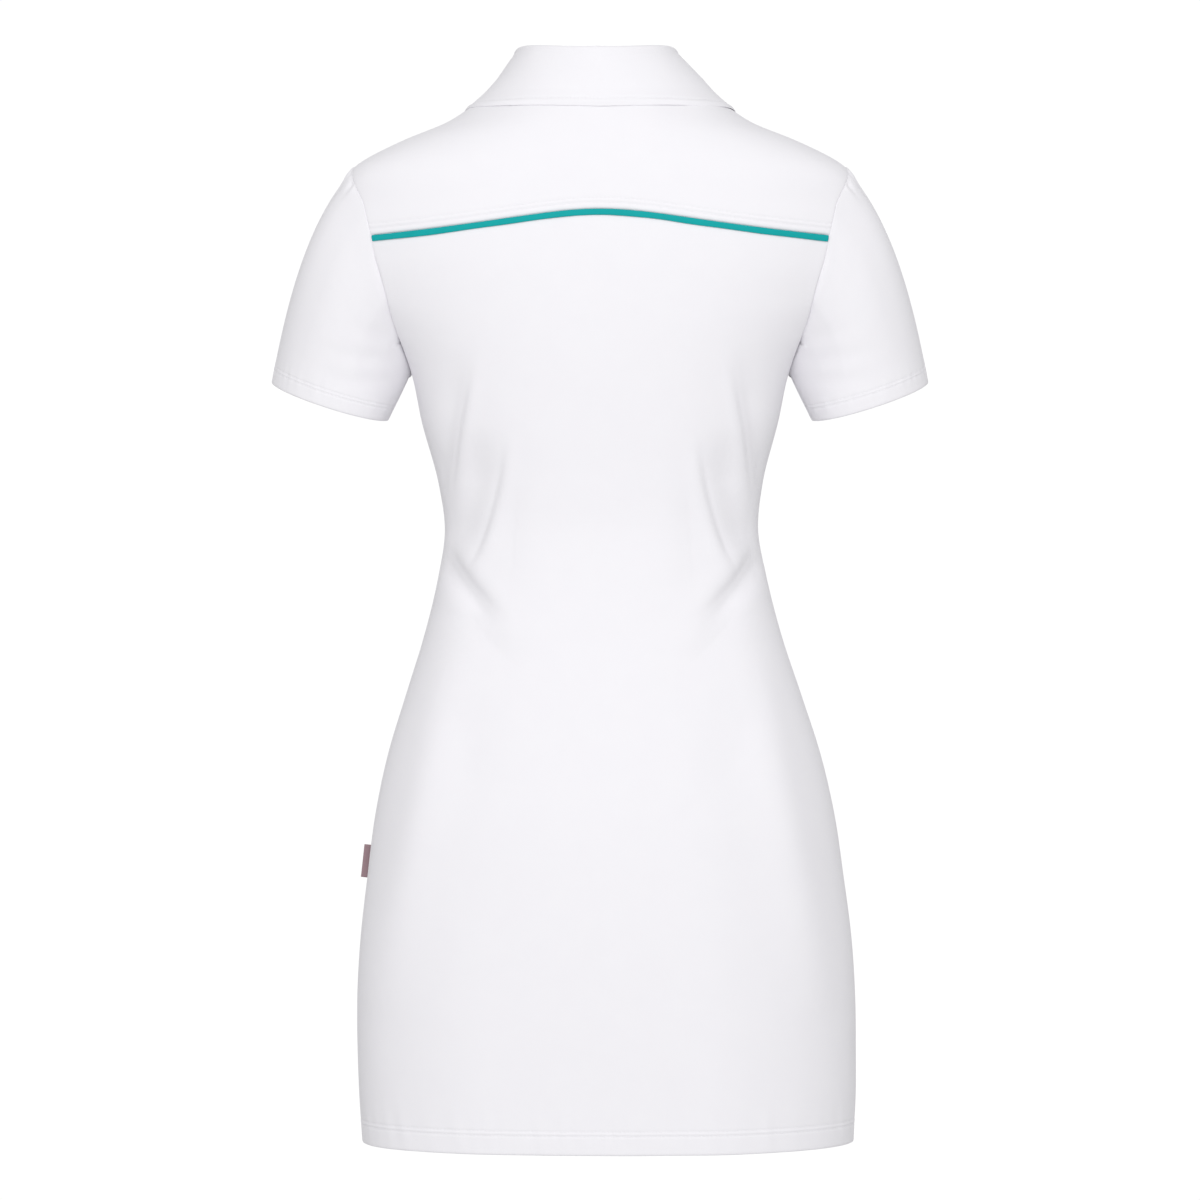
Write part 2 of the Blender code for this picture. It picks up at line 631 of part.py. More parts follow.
def sleeve_grid():
    """The sleeve's outer face from the armhole to the cuff, and where its hem begins."""
    base, turns = sleeve_turns()
    at_body = []
    for turn in base:
        place = armhole_place(turn, grow=-1.2 * SEAM_GAP)
        at_body.append(body(*place))
    at_body = np.array(at_body)
    seam = np.stack([np.interp(turns, base, at_body[:, k]) for k in range(3)], axis=1)
    columns = []
    for turn, start in zip(turns, seam):
        t = math.radians(turn)
        end = cuff_point(t)
        length = np.linalg.norm(end - start)
        first = start + mixed(SLEEVE_START, t) * SLEEVE_PULL * length
        last = end - mixed(SLEEVE_END, t) * SLEEVE_PULL * length
        hem = 1 - SLEEVE_HEM / length
        ways = [f * hem for f in SLEEVE_FRACTIONS] + [hem + 0.1 * (1 - hem), 1.0]
        columns.append([bezier(start, first, last, end, way) for way in ways])
    return turns, np.array(columns)


def make_sleeve(name, side):
    """A short set-in sleeve, its head gathered into the shoulder, with a turned-up hem."""
    turns, grid = sleeve_grid()
    closed = np.concatenate([grid[-2:-1], grid, grid[1:2]])
    normals = grid_normals(closed)[1:-1]
    middle = grid.mean(axis=(0, 1))
    if ((grid - middle) * normals).sum() < 0:
        normals = -normals
    from_seam = np.linalg.norm(grid - grid[:, :1], axis=-1)
    window = np.clip(1 - (turns / GATHER_SPREAD) ** 2, 0, 1)
    wave = np.cos(2 * math.pi * GATHERS * turns / (2 * GATHER_SPREAD)) * window
    swell = from_seam / GATHER_PEAK * np.exp(1 - from_seam / GATHER_PEAK)
    grid = grid + normals * (GATHER_DEPTH * wave[:, None] * swell)[..., None]
    outer = grid - normals * 0.5 * SEAM_GAP
    thick = np.full(outer.shape[:2], CLOTH)
    thick[:, -2:] += HEM_EXTRA
    inner = outer - normals * thick[..., None]
    flip = np.array([side, 1.0, 1.0])
    rows, columns = outer.shape[:2]
    close_ring(name, outer[:-1] * flip, inner[:-1] * flip)


def close_ring(name, outer, inner):
    """A wall whose grid closes on itself in its first direction, open at both ends."""
    rows, columns = outer.shape[:2]
    count = rows * columns
    faces = []
    for i in range(rows):
        n = (i + 1) % rows
        for j in range(columns - 1):
            a, b, c, d = i * columns + j, n * columns + j, n * columns + j + 1, i * columns + j + 1
            faces.extend([(a, b, c), (a, c, d)])
            faces.extend([(b + count, a + count, c + count), (c + count, a + count, d + count)])
        for j, turned in ((0, False), (columns - 1, True)):
            a, b = i * columns + j, n * columns + j
            rim = [(b, a, a + count), (b, a + count, b + count)]
            faces.extend([face[::-1] for face in rim] if turned else rim)
    points = np.concatenate([outer.reshape(-1, 3), inner.reshape(-1, 3)])
    solid(name, points, faces, WHITE)


def make_tab():
    """A small folded woven tab that stands out of the wearer's left side seam."""
    levels = np.array([TAB_BOTTOM, TAB_TOP], float)
    edge = body(0.0, levels)
    out, _ = body_frame(0.0, levels)
    near, far = edge + out * 0.5, edge + out * (0.5 + TAB_REACH)
    half = np.array([0.0, 0.5 * TAB_THICK, 0.0])
    front = np.stack([near, far], axis=1) - half
    closed_wall("side_tab", front, front + 2 * half, MAUVE, roughness=0.7)


def main():
    clear_scene()
    make_back()
    make_yoke()
    make_piping()
    make_front()
    make_placket()
    make_buttons()
    make_collar()
    make_sleeve("sleeve_left", 1)
    make_sleeve("sleeve_right", -1)
    make_tab()


main()
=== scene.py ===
"""A woman's short white polo dress, seen from behind. It stands open as it does when worn, with
nobody in it: a fold-over collar, a back yoke edged with flat teal piping, short sleeves gathered
into the shoulder, and twin-needle hems.

Sizes are in millimetres on the dress and in metres in the room. The front faces -Y, +Z is up and
the origin is in the middle of the neck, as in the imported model.
"""

from collections import namedtuple
from functools import lru_cache
import math

import bpy
import numpy as np
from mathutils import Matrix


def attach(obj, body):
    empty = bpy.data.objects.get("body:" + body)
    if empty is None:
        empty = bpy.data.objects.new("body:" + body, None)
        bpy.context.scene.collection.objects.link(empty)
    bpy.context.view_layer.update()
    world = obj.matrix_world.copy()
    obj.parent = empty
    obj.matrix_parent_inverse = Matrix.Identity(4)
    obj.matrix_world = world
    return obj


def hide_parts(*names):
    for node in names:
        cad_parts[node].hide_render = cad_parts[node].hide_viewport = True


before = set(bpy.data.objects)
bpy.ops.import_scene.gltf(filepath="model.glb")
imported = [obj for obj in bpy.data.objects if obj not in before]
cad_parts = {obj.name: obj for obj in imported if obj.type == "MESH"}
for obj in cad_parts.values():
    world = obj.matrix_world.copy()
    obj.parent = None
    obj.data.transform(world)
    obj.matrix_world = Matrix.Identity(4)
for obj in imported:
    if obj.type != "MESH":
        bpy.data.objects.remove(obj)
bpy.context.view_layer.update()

# Camera and room. The dress is seen from behind with a long lens, level with its middle. The
# room is one round white wall that curves down into a pale floor and glows evenly, and a large
# soft light stands above the camera.
CAMERA_DISTANCE = 4.0
CAMERA_HEIGHT = -0.416
LENS = 150
ROOM_RADIUS = 7.5
ROOM_CURVE = 1.5
FLOOR_HEIGHT = -1.35
WALL_HEIGHT = 6.0
ROOM_SIDES = 64
ROOM_WHITE = 1.03
ROOM_GLOW = 0.60
SOFTBOX = {"power": 117, "size": 2.6, "place": (0.0, 4.6, 1.25)}

camera_data = bpy.data.cameras.new("camera")
camera_data.lens = LENS
camera_data.sensor_width = 36
camera = bpy.data.objects.new("camera", camera_data)
camera.location = (0, CAMERA_DISTANCE, CAMERA_HEIGHT)
camera.rotation_euler = (math.radians(90), 0, math.radians(180))
bpy.context.scene.collection.objects.link(camera)
bpy.context.scene.camera = camera

softbox_data = bpy.data.lights.new("softbox", "AREA")
softbox_data.energy = SOFTBOX["power"]
softbox_data.size = SOFTBOX["size"]
softbox = bpy.data.objects.new("softbox", softbox_data)
softbox.location = SOFTBOX["place"]
aim = bpy.data.objects.new("softbox_aim", None)
aim.location = (0, 0, CAMERA_HEIGHT)
turn_to = softbox.constraints.new("TRACK_TO")
turn_to.target = aim
for thing in (softbox, aim):
    bpy.context.scene.collection.objects.link(thing)


class Value:
    """A shader socket that can stand in sums, so a pattern reads as one expression."""

    def __init__(self, tree, socket):
        self.tree = tree
        self.socket = socket

    def maths(self, operation, first, second=None):
        node = self.tree.nodes.new("ShaderNodeMath")
        node.operation = operation
        for place, value in enumerate((first, second)):
            if isinstance(value, Value):
                self.tree.links.new(value.socket, node.inputs[place])
            elif value is not None:
                node.inputs[place].default_value = value
        return Value(self.tree, node.outputs[0])

    def __add__(self, other):
        return self.maths("ADD", self, other)

    def __sub__(self, other):
        return self.maths("SUBTRACT", self, other)

    def __rsub__(self, other):
        return self.maths("SUBTRACT", other, self)

    def __mul__(self, other):
        return self.maths("MULTIPLY", self, other)

    def __truediv__(self, other):
        return self.maths("DIVIDE", self, other)

    def __abs__(self):
        return self.maths("ABSOLUTE", self)

    def wave(self):
        return self.maths("COSINE", self * (2 * math.pi))

    def fraction(self):
        return self.maths("FRACT", self)

    __radd__ = __add__
    __rmul__ = __mul__


class Finish:
    """A material with one Principled surface. Its constants go straight on the shader."""

    def __init__(self, name, constants):
        self.material = bpy.data.materials.new(name)
        self.material.use_nodes = True
        self.tree = self.material.node_tree
        self.surface = self.tree.nodes["Principled BSDF"]
        for socket, value in constants.items():
            self.surface.inputs[socket].default_value = value

    def node(self, kind, settings=(), output=0, **sockets):
        made = self.tree.nodes.new(kind)
        for key, value in dict(settings).items():
            setattr(made, key, value)
        for key, value in sockets.items():
            socket = made.inputs[key.replace("_", " ")]
            if isinstance(value, Value):
                self.tree.links.new(value.socket, socket)
            else:
                socket.default_value = value
        return Value(self.tree, made.outputs[output])

    def blend(self, factor, first, second):
        """A colour between two, by a factor from 0 to 1."""
        made = self.tree.nodes.new("ShaderNodeMix")
        made.data_type = "RGBA"
        self.tree.links.new(factor.socket, made.inputs["Factor"])
        for place, value in ((6, first), (7, second)):
            if isinstance(value, Value):
                self.tree.links.new(value.socket, made.inputs[place])
            else:
                made.inputs[place].default_value = value
        return Value(self.tree, made.outputs[2])

    def feed(self, socket, value):
        self.tree.links.new(value.socket, self.surface.inputs[socket])

    def relief(self, height, depth, strength):
        """Raises the surface by a height from 0 to 1 times a depth in metres."""
        self.feed("Normal", self.node("ShaderNodeBump", Height=height, Distance=depth, Strength=strength))


def ring_quads(rings, sides, first=0):
    """Faces that join rings of points one after another, each ring having that many sides."""
    quads = []
    for row in range(rings - 1):
        a, b = first + row * sides, first + (row + 1) * sides
        for k in range(sides):
            n = (k + 1) % sides
            quads.append((a + k, a + n, b + n, b + k))
    return quads


room = Finish("room_white", {})
glow = room.tree.nodes.new("ShaderNodeEmission")
glow.inputs["Strength"].default_value = ROOM_GLOW
seen = room.tree.nodes.new("ShaderNodeEmission")
seen.inputs["Strength"].default_value = ROOM_WHITE
either = room.tree.nodes.new("ShaderNodeMixShader")
path = room.tree.nodes.new("ShaderNodeLightPath")
room.tree.links.new(path.outputs["Is Camera Ray"], either.inputs[0])
room.tree.links.new(glow.outputs[0], either.inputs[1])
room.tree.links.new(seen.outputs[0], either.inputs[2])
room.tree.links.new(either.outputs[0], room.tree.nodes["Material Output"].inputs["Surface"])

quarter = np.radians(np.linspace(0, 90, 10))
wall_profile = [(0.0, FLOOR_HEIGHT), (ROOM_RADIUS - ROOM_CURVE, FLOOR_HEIGHT)]
wall_profile += [
    (ROOM_RADIUS - ROOM_CURVE + ROOM_CURVE * math.sin(t), FLOOR_HEIGHT + ROOM_CURVE * (1 - math.cos(t)))
    for t in quarter[1:]
]
wall_profile.append((ROOM_RADIUS, WALL_HEIGHT))
points = []
for reach, height in wall_profile:
    for k in range(ROOM_SIDES):
        turn = 2 * math.pi * k / ROOM_SIDES
        points.append((reach * math.cos(turn), reach * math.sin(turn), height))
room_mesh = bpy.data.meshes.new("studio")
room_mesh.from_pydata(points, [], ring_quads(len(wall_profile), ROOM_SIDES))
room_mesh.materials.append(room.material)
studio = bpy.data.objects.new("studio", room_mesh)
bpy.context.scene.collection.objects.link(studio)

world = bpy.data.worlds.new("studio_air")
world.use_nodes = True
world.node_tree.nodes["Background"].inputs["Color"].default_value = (1, 1, 1, 1)
world.node_tree.nodes["Background"].inputs["Strength"].default_value = ROOM_GLOW
bpy.context.scene.world = world
bpy.context.scene.view_settings.view_transform = "Standard"

# The body of the dress. The back and front panels are cut from fine white stretch jersey, joined
# at the sides, and turned up at the bottom with a twin-needle hem. Both follow one shape, given
# here as rings from the hem to the neck, each named by the height of its point at the side.
MM = 0.001
CLOTH = 0.75
Ring = namedtuple("Ring", "side_z side_x back_y back_z front_y front_z power centre_x")
RINGS = [
    Ring(-848, 195.0, 118, -848, 118, -848, 2.25, -5.8),
    Ring(-812, 197.0, 119, -812, 119, -812, 2.25, -5.4),
    Ring(-780, 197.7, 120, -780, 120, -780, 2.25, -4.8),
    Ring(-732, 197.6, 121, -732, 120, -732, 2.25, -4.4),
    Ring(-684, 194.8, 121, -684, 118, -684, 2.25, -4.4),
    Ring(-636, 189.2, 119, -636, 115, -636, 2.25, -4.2),
    Ring(-588, 183.0, 115, -588, 111, -588, 2.25, -3.8),
    Ring(-540, 172.8, 107, -540, 106, -540, 2.25, -3.3),
    Ring(-492, 158.0, 98, -492, 101, -492, 2.25, -2.9),
    Ring(-444, 142.8, 89, -444, 97, -444, 2.25, -2.3),
    Ring(-396, 130.9, 83, -396, 94, -396, 2.25, -1.8),
    Ring(-360, 125.2, 81, -360, 94, -360, 2.25, -1.2),
    Ring(-324, 129.4, 84, -324, 98, -324, 2.25, -0.6),
    Ring(-276, 142.0, 90, -276, 109, -278, 2.3, 0.0),
    Ring(-227, 153.5, 96, -225, 116, -242, 2.35, 0.0),
    Ring(-185, 175.0, 99, -182, 114, -210, 2.4, 0.0),
    Ring(-145, 195.0, 100, -141, 108, -180, 2.45, 0.0),
    Ring(-107, 203.0, 98, -103, 101, -152, 2.4, 0.0),
    Ring(-69, 194.0, 92, -66, 92, -124, 2.35, 0.0),
    Ring(-50, 158.0, 86, -48, 87, -110, 2.3, 0.0),
    Ring(-36, 124.0, 81, -35, 83, -99, 2.2, 0.0),
    Ring(-23, 104.0, 76, -25, 79, -91, 2.1, 0.0),
    Ring(0, 78.0, 68, -8, 71, -75, 2.0, 0.0),
]
RING_LEVELS = np.array([ring.side_z for ring in RINGS], float)
RING_VALUES = np.array(RINGS, float)
HEM_Z = -848
UNDERARM_Z = -234
SHOULDER_TIP_Z = -69
NECK_Z = 0


def eased(at, knots, values):
    """A smooth curve through a table's values, with each knot's slope taken from its neighbours.
    Where values is a table of columns, at ends in an axis of length one that the columns fill."""
    at, knots, values = (np.asarray(v, float) for v in (at, knots, values))
    steps = np.diff(knots)
    wide = steps if values.ndim == 1 else steps[:, None]
    rises = np.diff(values, axis=0) / wide
    slopes = np.empty_like(values)
    slopes[0], slopes[-1] = rises[0], rises[-1]
    slopes[1:-1] = (rises[:-1] * wide[1:] + rises[1:] * wide[:-1]) / (wide[1:] + wide[:-1])
    i = np.clip(np.searchsorted(knots, at) - 1, 0, len(steps) - 1)
    low, high = (i, i + 1) if values.ndim == 1 else (i[..., 0], i[..., 0] + 1)
    h = steps[i]
    t = (at - knots[i]) / h
    before = values[low] + slopes[low] * t * h
    after = values[high] + slopes[high] * (t - 1) * h
    between = (
        values[low] * (1 + 2 * t) * (1 - t) ** 2
        + slopes[low] * h * t * (1 - t) ** 2
        + values[high] * t * t * (3 - 2 * t)
        - slopes[high] * h * t * t * (1 - t)
    )
    return np.where(t < 0, before, np.where(t > 1, after, between))


def body(angle, level):
    """The point of the dress's surface at an angle round the body, on the ring of that level.
    Angle 0 is the wearer's left side, and a quarter turn is the middle of the back."""
    angle, level = np.broadcast_arrays(np.asarray(angle, float), np.asarray(level, float))
    c, s = np.cos(angle), np.sin(angle)
    columns = np.moveaxis(eased(level[..., None], RING_LEVELS, RING_VALUES), -1, 0)
    _, width, back_y, back_z, front_y, front_z, power, centre_x = columns
    at_back = s >= 0
    depth = np.where(at_back, back_y, front_y)
    centre_z = np.where(at_back, back_z, front_z)
    reach = (np.abs(c / width) ** power + np.abs(s / depth) ** power) ** (-1 / power)
    return np.stack([centre_x + reach * c, reach * s, level + (centre_z - level) * s * s], axis=-1)


def unit(v):
    return v / np.maximum(np.linalg.norm(v, axis=-1, keepdims=True), 1e-9)


def body_frame(angle, level):
    """(outward normal, direction up the cloth) of the body's surface."""
    d_angle, d_level = 1e-3, 0.2
    across = body(angle + d_angle, level) - body(angle - d_angle, level)
    up = body(angle, level + d_level) - body(angle, level - d_level)
    return unit(np.cross(across, up)), unit(up)


ARMHOLE_HEIGHT = 0.5 * (SHOULDER_TIP_Z - UNDERARM_Z)
ARMHOLE_CENTRE_Z = 0.5 * (SHOULDER_TIP_Z + UNDERARM_Z)
ARMHOLE_BACK = 50.0
ARMHOLE_BACK_FULL = 20.0
ARMHOLE_BACK_NARROW = 16.0
ARMHOLE_TOP_POWER = 0.78
ARMHOLE_FRONT = 60.0


@lru_cache(maxsize=None)
def armhole_place(turn):
    """(angle, level) on the body of the armhole's edge, for a turn in degrees round the armhole:
    0 at the shoulder tip, 90 at the back, 180 under the arm, and negative at the front."""
    c, s = math.cos(math.radians(turn)), math.sin(math.radians(turn))
    back = ARMHOLE_BACK + ARMHOLE_BACK_FULL * c - ARMHOLE_BACK_NARROW * c * c
    across = max(s, 0.0) ** ARMHOLE_TOP_POWER if c > 0 else s
    want_y = back * across if turn >= 0 else ARMHOLE_FRONT * s
    want_z = ARMHOLE_CENTRE_Z + ARMHOLE_HEIGHT * c
    angle, level = 0.0, want_z
    sign = 1 if want_y >= 0 else -1
    tries = np.linspace(0, 0.5 * math.pi, 361)
    for _ in range(8):
        reached = np.abs(body(sign * tries, level)[:, 1])
        angle = sign * float(np.interp(abs(want_y), reached, tries))
        level += float(want_z - body(angle, level)[2])
    return angle, level


def eased_step(at, start, end):
    """0 before start, 1 after end, and a smooth rise between them."""
    t = np.clip((np.asarray(at, float) - start) / (end - start), 0, 1)
    return t * t * (3 - 2 * t)


def bell(distance, width):
    """1 where the distance is 0, falling smoothly to nothing over about two widths."""
    return np.exp(-((distance / width) ** 2))


def run_along(points, axis=0):
    """The distance run to each point along one axis of a line or grid of points."""
    steps = np.linalg.norm(np.diff(points, axis=axis), axis=-1)
    start = np.zeros_like(np.take(steps, [0], axis=axis))
    return np.concatenate([start, np.cumsum(steps, axis=axis)], axis=axis)


def points_at(at, run, line):
    """The points of a line at distances along it."""
    return np.stack([np.interp(at, run, line[:, k]) for k in range(3)], axis=1)


ARMHOLE_TURNS = np.linspace(-180, 180, 361)
ARMHOLE_PLACES = np.array([armhole_place(float(t)) for t in ARMHOLE_TURNS])
ARMHOLE_LINE = body(ARMHOLE_PLACES[:, 0], ARMHOLE_PLACES[:, 1])
ARMHOLE_ALONG = unit(np.gradient(ARMHOLE_LINE, axis=0))
SIDE_LEVELS = np.arange(HEM_Z, UNDERARM_Z + 1, 2.0)
SHOULDER_LEVELS = np.arange(SHOULDER_TIP_Z, NECK_Z + 0.5, 1.0)
SIDE_LINE = body(0.0, SIDE_LEVELS)
SHOULDER_LINE = body(0.0, SHOULDER_LEVELS)
YOKE_TURN = 74
YOKE_ARCH = 14.4
YOKE_ARCH_POWER = 0.7
YOKE_EDGE, YOKE_LEVEL = armhole_place(YOKE_TURN)


def yoke_arch(fraction):
    """Rise of the yoke seam over its ends, for a fraction across the back."""
    return YOKE_ARCH * (0.5 - 0.5 * np.cos(2 * math.pi * fraction)) ** YOKE_ARCH_POWER


def yoke_seam_level(angle):
    return YOKE_LEVEL + yoke_arch(np.clip((angle - YOKE_EDGE) / (math.pi - 2 * YOKE_EDGE), 0, 1))


def nearest(points, line):
    """(distance from each point to a line of close points, index of the nearest one)."""
    flat = points.reshape(-1, 3)
    distance = np.empty(len(flat))
    index = np.empty(len(flat), int)
    for start in range(0, len(flat), 8192):
        piece = flat[start : start + 8192]
        square = (piece**2).sum(1)[:, None] - 2 * piece @ line.T + (line**2).sum(1)
        nearest_index = square.argmin(1)
        index[start : start + 8192] = nearest_index
        distance[start : start + 8192] = np.sqrt(np.maximum(square.min(1), 0))
    return distance.reshape(points.shape[:-1]), index.reshape(points.shape[:-1])


def both_sides(line):
    return np.concatenate([line, line * np.array([-1.0, 1.0, 1.0])])


# How deep the cloth dips into its seams. Below the middle of the armhole the sleeve and the body
# press a soft crease between them, which opens to a narrow deep slot under the arm.
SEAM_DIP = 0.6
SEAM_WIDTH = 2.4
CREASE_DIP = 2.4
CREASE_WIDTH = 2.4
UNDERARM_SLOT = 14.0
UNDERARM_WIDTH = 1.3
# Behind the armhole the seam stands out backwards: the turn round the armhole and how far, and the
# distances over which the body's cloth and the sleeve's slope away from it
SEAM_RISES = [(2, 0.0), (20, 4.5), (40, 9.0), (85, 11.0), (110, 17.5), (130, 16.0)]
SEAM_RISES += [(150, 9.5), (165, 4.0), (178, 0.0)]
BODY_SLOPE = 28.0
SLEEVE_SLOPE = (30.0, 42.0)
BACKWARDS = np.array([0.0, 1.0, 0.0])
# The plain seams at the sides and on the shoulders
PLAIN_SEAM_DIP = 0.5
PLAIN_SEAM_WIDTH = 2.0


def armhole_dip(turn, distance):
    """How far cloth sinks into the armhole's seam, at a turn round it and a distance from it."""
    turn = np.abs(turn)
    low = eased_step(turn, 78, 112) * (1 - 0.6 * eased_step(turn, 150, 180))
    dip = SEAM_DIP * (0.25 + 0.75 * low) * bell(distance, SEAM_WIDTH)
    return -dip - CREASE_DIP * low * np.exp(-((distance / CREASE_WIDTH) ** 1.6))


def seam_rise(turn, distance, slope):
    """How far the cloth beside the back of the armhole stands out backwards, less the slot's depth."""
    rise = np.interp(turn, *zip(*SEAM_RISES)) * np.exp(-distance / slope)
    slot = eased_step(turn, 133, 138) * (1 - eased_step(turn, 173, 179))
    return rise - UNDERARM_SLOT * slot * bell(distance, UNDERARM_WIDTH)


def seam_dips(points):
    """(how far the body's cloth sinks into its seams, how far it stands out behind the armholes)."""
    distance, index = nearest(points, both_sides(ARMHOLE_LINE))
    turn = ARMHOLE_TURNS[index % len(ARMHOLE_TURNS)]
    dip = armhole_dip(turn, distance)
    rise = seam_rise(turn, distance, BODY_SLOPE)
    for line in (both_sides(SIDE_LINE), both_sides(SHOULDER_LINE)):
        distance, _ = nearest(points, line)
        dip -= PLAIN_SEAM_DIP * bell(distance, PLAIN_SEAM_WIDTH)
    return dip, rise


# Creases pressed into the back beside the waist, on both sides. Each runs through three points
# given as distance from the middle and height. The cloth falls steeply on the crease's inner
# side, towards the middle of the back, by a first share of the depth. It goes on falling gently for
# the hollow's width on the outer side, and then eases out over a broad band.
Crease = namedtuple("Crease", "x1 z1 x2 z2 x3 z3 depth first steep hollow broad rise")
CREASES = [
    Crease(100, -218, 118, -285, 123, -350, 3.6, 0.65, 3.4, 7.0, 10.0, 1.2),
    Crease(77, -280, 84, -350, 114, -405, 5.6, 0.58, 4.0, 16.0, 14.0, 1.4),
    Crease(130, -368, 114, -402, 70, -438, 5.4, 0.8, 5.6, 4.0, 9.5, 0.8),
    Crease(66, -310, 66, -370, 74, -420, 0.9, 0.65, 8.0, 1.0, 14.0, 0.3),
    Crease(112, -412, 92, -446, 60, -470, 1.3, 0.65, 7.0, 1.0, 12.0, 0.6),
    Crease(124, -470, 104, -520, 84, -590, 0.8, 0.65, 12.0, 1.0, 18.0, 0.4),
]
# The creases lie evenly to both sides of the middle of the waist, reach this far beyond their three
# points, and end before the side seam
WAIST_MIDDLE = -1.5
CREASE_REACH = (90, 60)
CREASE_END = 32.0
# Broad soft folds that stand out of the back of the skirt, from the hips down to its sides: three
# points as above, the height and the width
Swell = namedtuple("Swell", "x1 z1 x2 z2 x3 z3 height width")
SWELLS = [Swell(112, -430, 137, -570, 176, -745, 6.0, 19.0)]


def beside_arc(x, z, arc):
    """(share of the way along an arc through three points, signed distance from it)."""
    t = np.linspace(0, 1, 90)
    line_x = arc.x1 * (1 - t) ** 2 + arc.x2 * 2 * t * (1 - t) + arc.x3 * t * t
    line_z = arc.z1 * (1 - t) ** 2 + arc.z2 * 2 * t * (1 - t) + arc.z3 * t * t
    away = np.hypot(x[:, None] - line_x, z[:, None] - line_z)
    index = away.argmin(1)
    along_x = np.gradient(line_x)[index]
    along_z = np.gradient(line_z)[index]
    side = np.sign((x - line_x[index]) * -along_z + (z - line_z[index]) * along_x)
    return t[index], away.min(1) * side


def crease_depth(points):
    """How far the creases press the cloth of the back in, or raise it beside them."""
    x, y, z = np.abs(points[..., 0] - WAIST_MIDDLE), points[..., 1], points[..., 2]
    moved = np.zeros_like(x)
    across, past = CREASE_REACH
    for c in CREASES:
        near = (np.abs(x - c.x2) < across) & (z > min(c.z1, c.z3) - past) & (z < max(c.z1, c.z3) + past)
        if not near.any():
            continue
        way, gap = beside_arc(x[near], z[near], c)
        taper = eased_step(way, 0, 0.36) * (1 - eased_step(way, 0.6, 1))
        inner_side = c.first * bell(gap, c.steep)
        eased_out = bell(np.clip(gap - c.hollow, 0, None), c.broad)
        outer_side = (c.first + (1 - c.first) * eased_step(gap, 0, c.hollow)) * eased_out
        trough = np.where(gap > 0, outer_side, inner_side)
        ridge = bell(gap + 2.4 * c.steep, 1.5 * c.steep)
        moved[near] += taper * (c.rise * ridge - c.depth * trough)
    for c in SWELLS:
        near = (z > min(c.z1, c.z3) - past) & (z < max(c.z1, c.z3) + past)
        if near.any():
            way, gap = beside_arc(x[near], z[near], c)
            moved[near] += c.height * np.sin(math.pi * way) ** 0.8 * bell(gap, c.width)
    return moved * eased_step(y, 0, CREASE_END)


RIPPLE_WAVES = 5


def ripple(at, seed):
    """A smooth uneven wave between about -1 and 1, the same each time for a seed."""
    draw = np.random.default_rng(seed)
    total = np.zeros_like(np.asarray(at, float))
    for _ in range(RIPPLE_WAVES):
        total += np.sin(at * draw.uniform(0.5, 1.6) + draw.uniform(0, 2 * math.pi))
    return total / RIPPLE_WAVES**0.5


# The two rows of stitches over the hem's fold and over the yoke's seam, and how far the twin
# needles draw the cloth down
HEM_ROWS = (15.0, 18.6)
YOKE_ROWS = (5.2, 9.0)
NEEDLE_DIP = 0.32
NEEDLE_WIDTH = 0.9
BETWEEN_ROWS_RISE = 0.18
BETWEEN_ROWS_WIDTH = 1.1
YOKE_SEAM_DIP = 0.5
YOKE_SEAM_WIDTH = 1.6


def needle_dips(distance, rows):
    """The furrow that each row of stitches draws, with a soft swelling between the rows."""
    dip = sum(-NEEDLE_DIP * bell(distance - row, NEEDLE_WIDTH) for row in rows)
    middle = 0.5 * (rows[0] + rows[-1])
    return dip + BETWEEN_ROWS_RISE * bell(distance - middle, BETWEEN_ROWS_WIDTH)


# Slow waves of the cloth: height, how quickly each goes round the body and up it, and its seed
Wave = namedtuple("Wave", "height around up seed")
SKIRT_WAVES = [Wave(1.5, 4.2, 0.002, 3), Wave(0.8, 9.0, 0.004, 8)]
SKIRT_LOOSE_FROM = 420
SKIRT_LOOSE_AT = 800
WHOLE_WAVE = Wave(0.35, 7.0, 0.011, 5)
HEM_PULL = Wave(0.22, 60.0, 0.05, 12)
HEM_PULL_HEIGHT = 17
HEM_PULL_WIDTH = 16.0


def soft_waves(points, angle):
    """The slow uneven swelling of worn jersey, strongest in the free cloth of the skirt."""
    z = points[..., 2]

    def wave(w):
        return ripple(angle * w.around + z * w.up, w.seed)

    loose = eased_step(-z, SKIRT_LOOSE_FROM, SKIRT_LOOSE_AT)
    waves = sum(w.height * loose * wave(w) for w in SKIRT_WAVES)
    waves += WHOLE_WAVE.height * wave(WHOLE_WAVE) * ripple(z * 0.022 - angle, 6)
    pull = bell((z - HEM_Z) - HEM_PULL_HEIGHT, HEM_PULL_WIDTH)
    return waves + HEM_PULL.height * pull * wave(HEM_PULL)


def dress_surface(angle, level, drop=0.0, stitch_rows=True):
    """Points of the finished cloth of the body, sunk below its face by a drop."""
    flat = body(angle, level)
    normal, _ = body_frame(angle, level)
    dip, rise = seam_dips(flat)
    moved = crease_depth(flat) + dip + soft_waves(flat, angle)
    if stitch_rows:
        moved = moved + needle_dips(flat[..., 2] - HEM_Z, HEM_ROWS)
        above_yoke = np.where(np.sin(angle) > 0, level - yoke_seam_level(angle), 99.0)
        moved = moved + needle_dips(above_yoke, YOKE_ROWS)
        moved = moved - YOKE_SEAM_DIP * bell(above_yoke, YOKE_SEAM_WIDTH)
    return flat + normal * (moved - drop)[..., None] + BACKWARDS * rise[..., None]


def grid_normals(grid, closed=False):
    """Unit normals of a grid of points. The columns of a closed one meet all round."""
    if closed:
        return grid_normals(np.concatenate([grid[:, -1:], grid, grid[:, :1]], axis=1))[:, 1:-1]
    return unit(np.cross(np.gradient(grid, axis=1), np.gradient(grid, axis=0)))


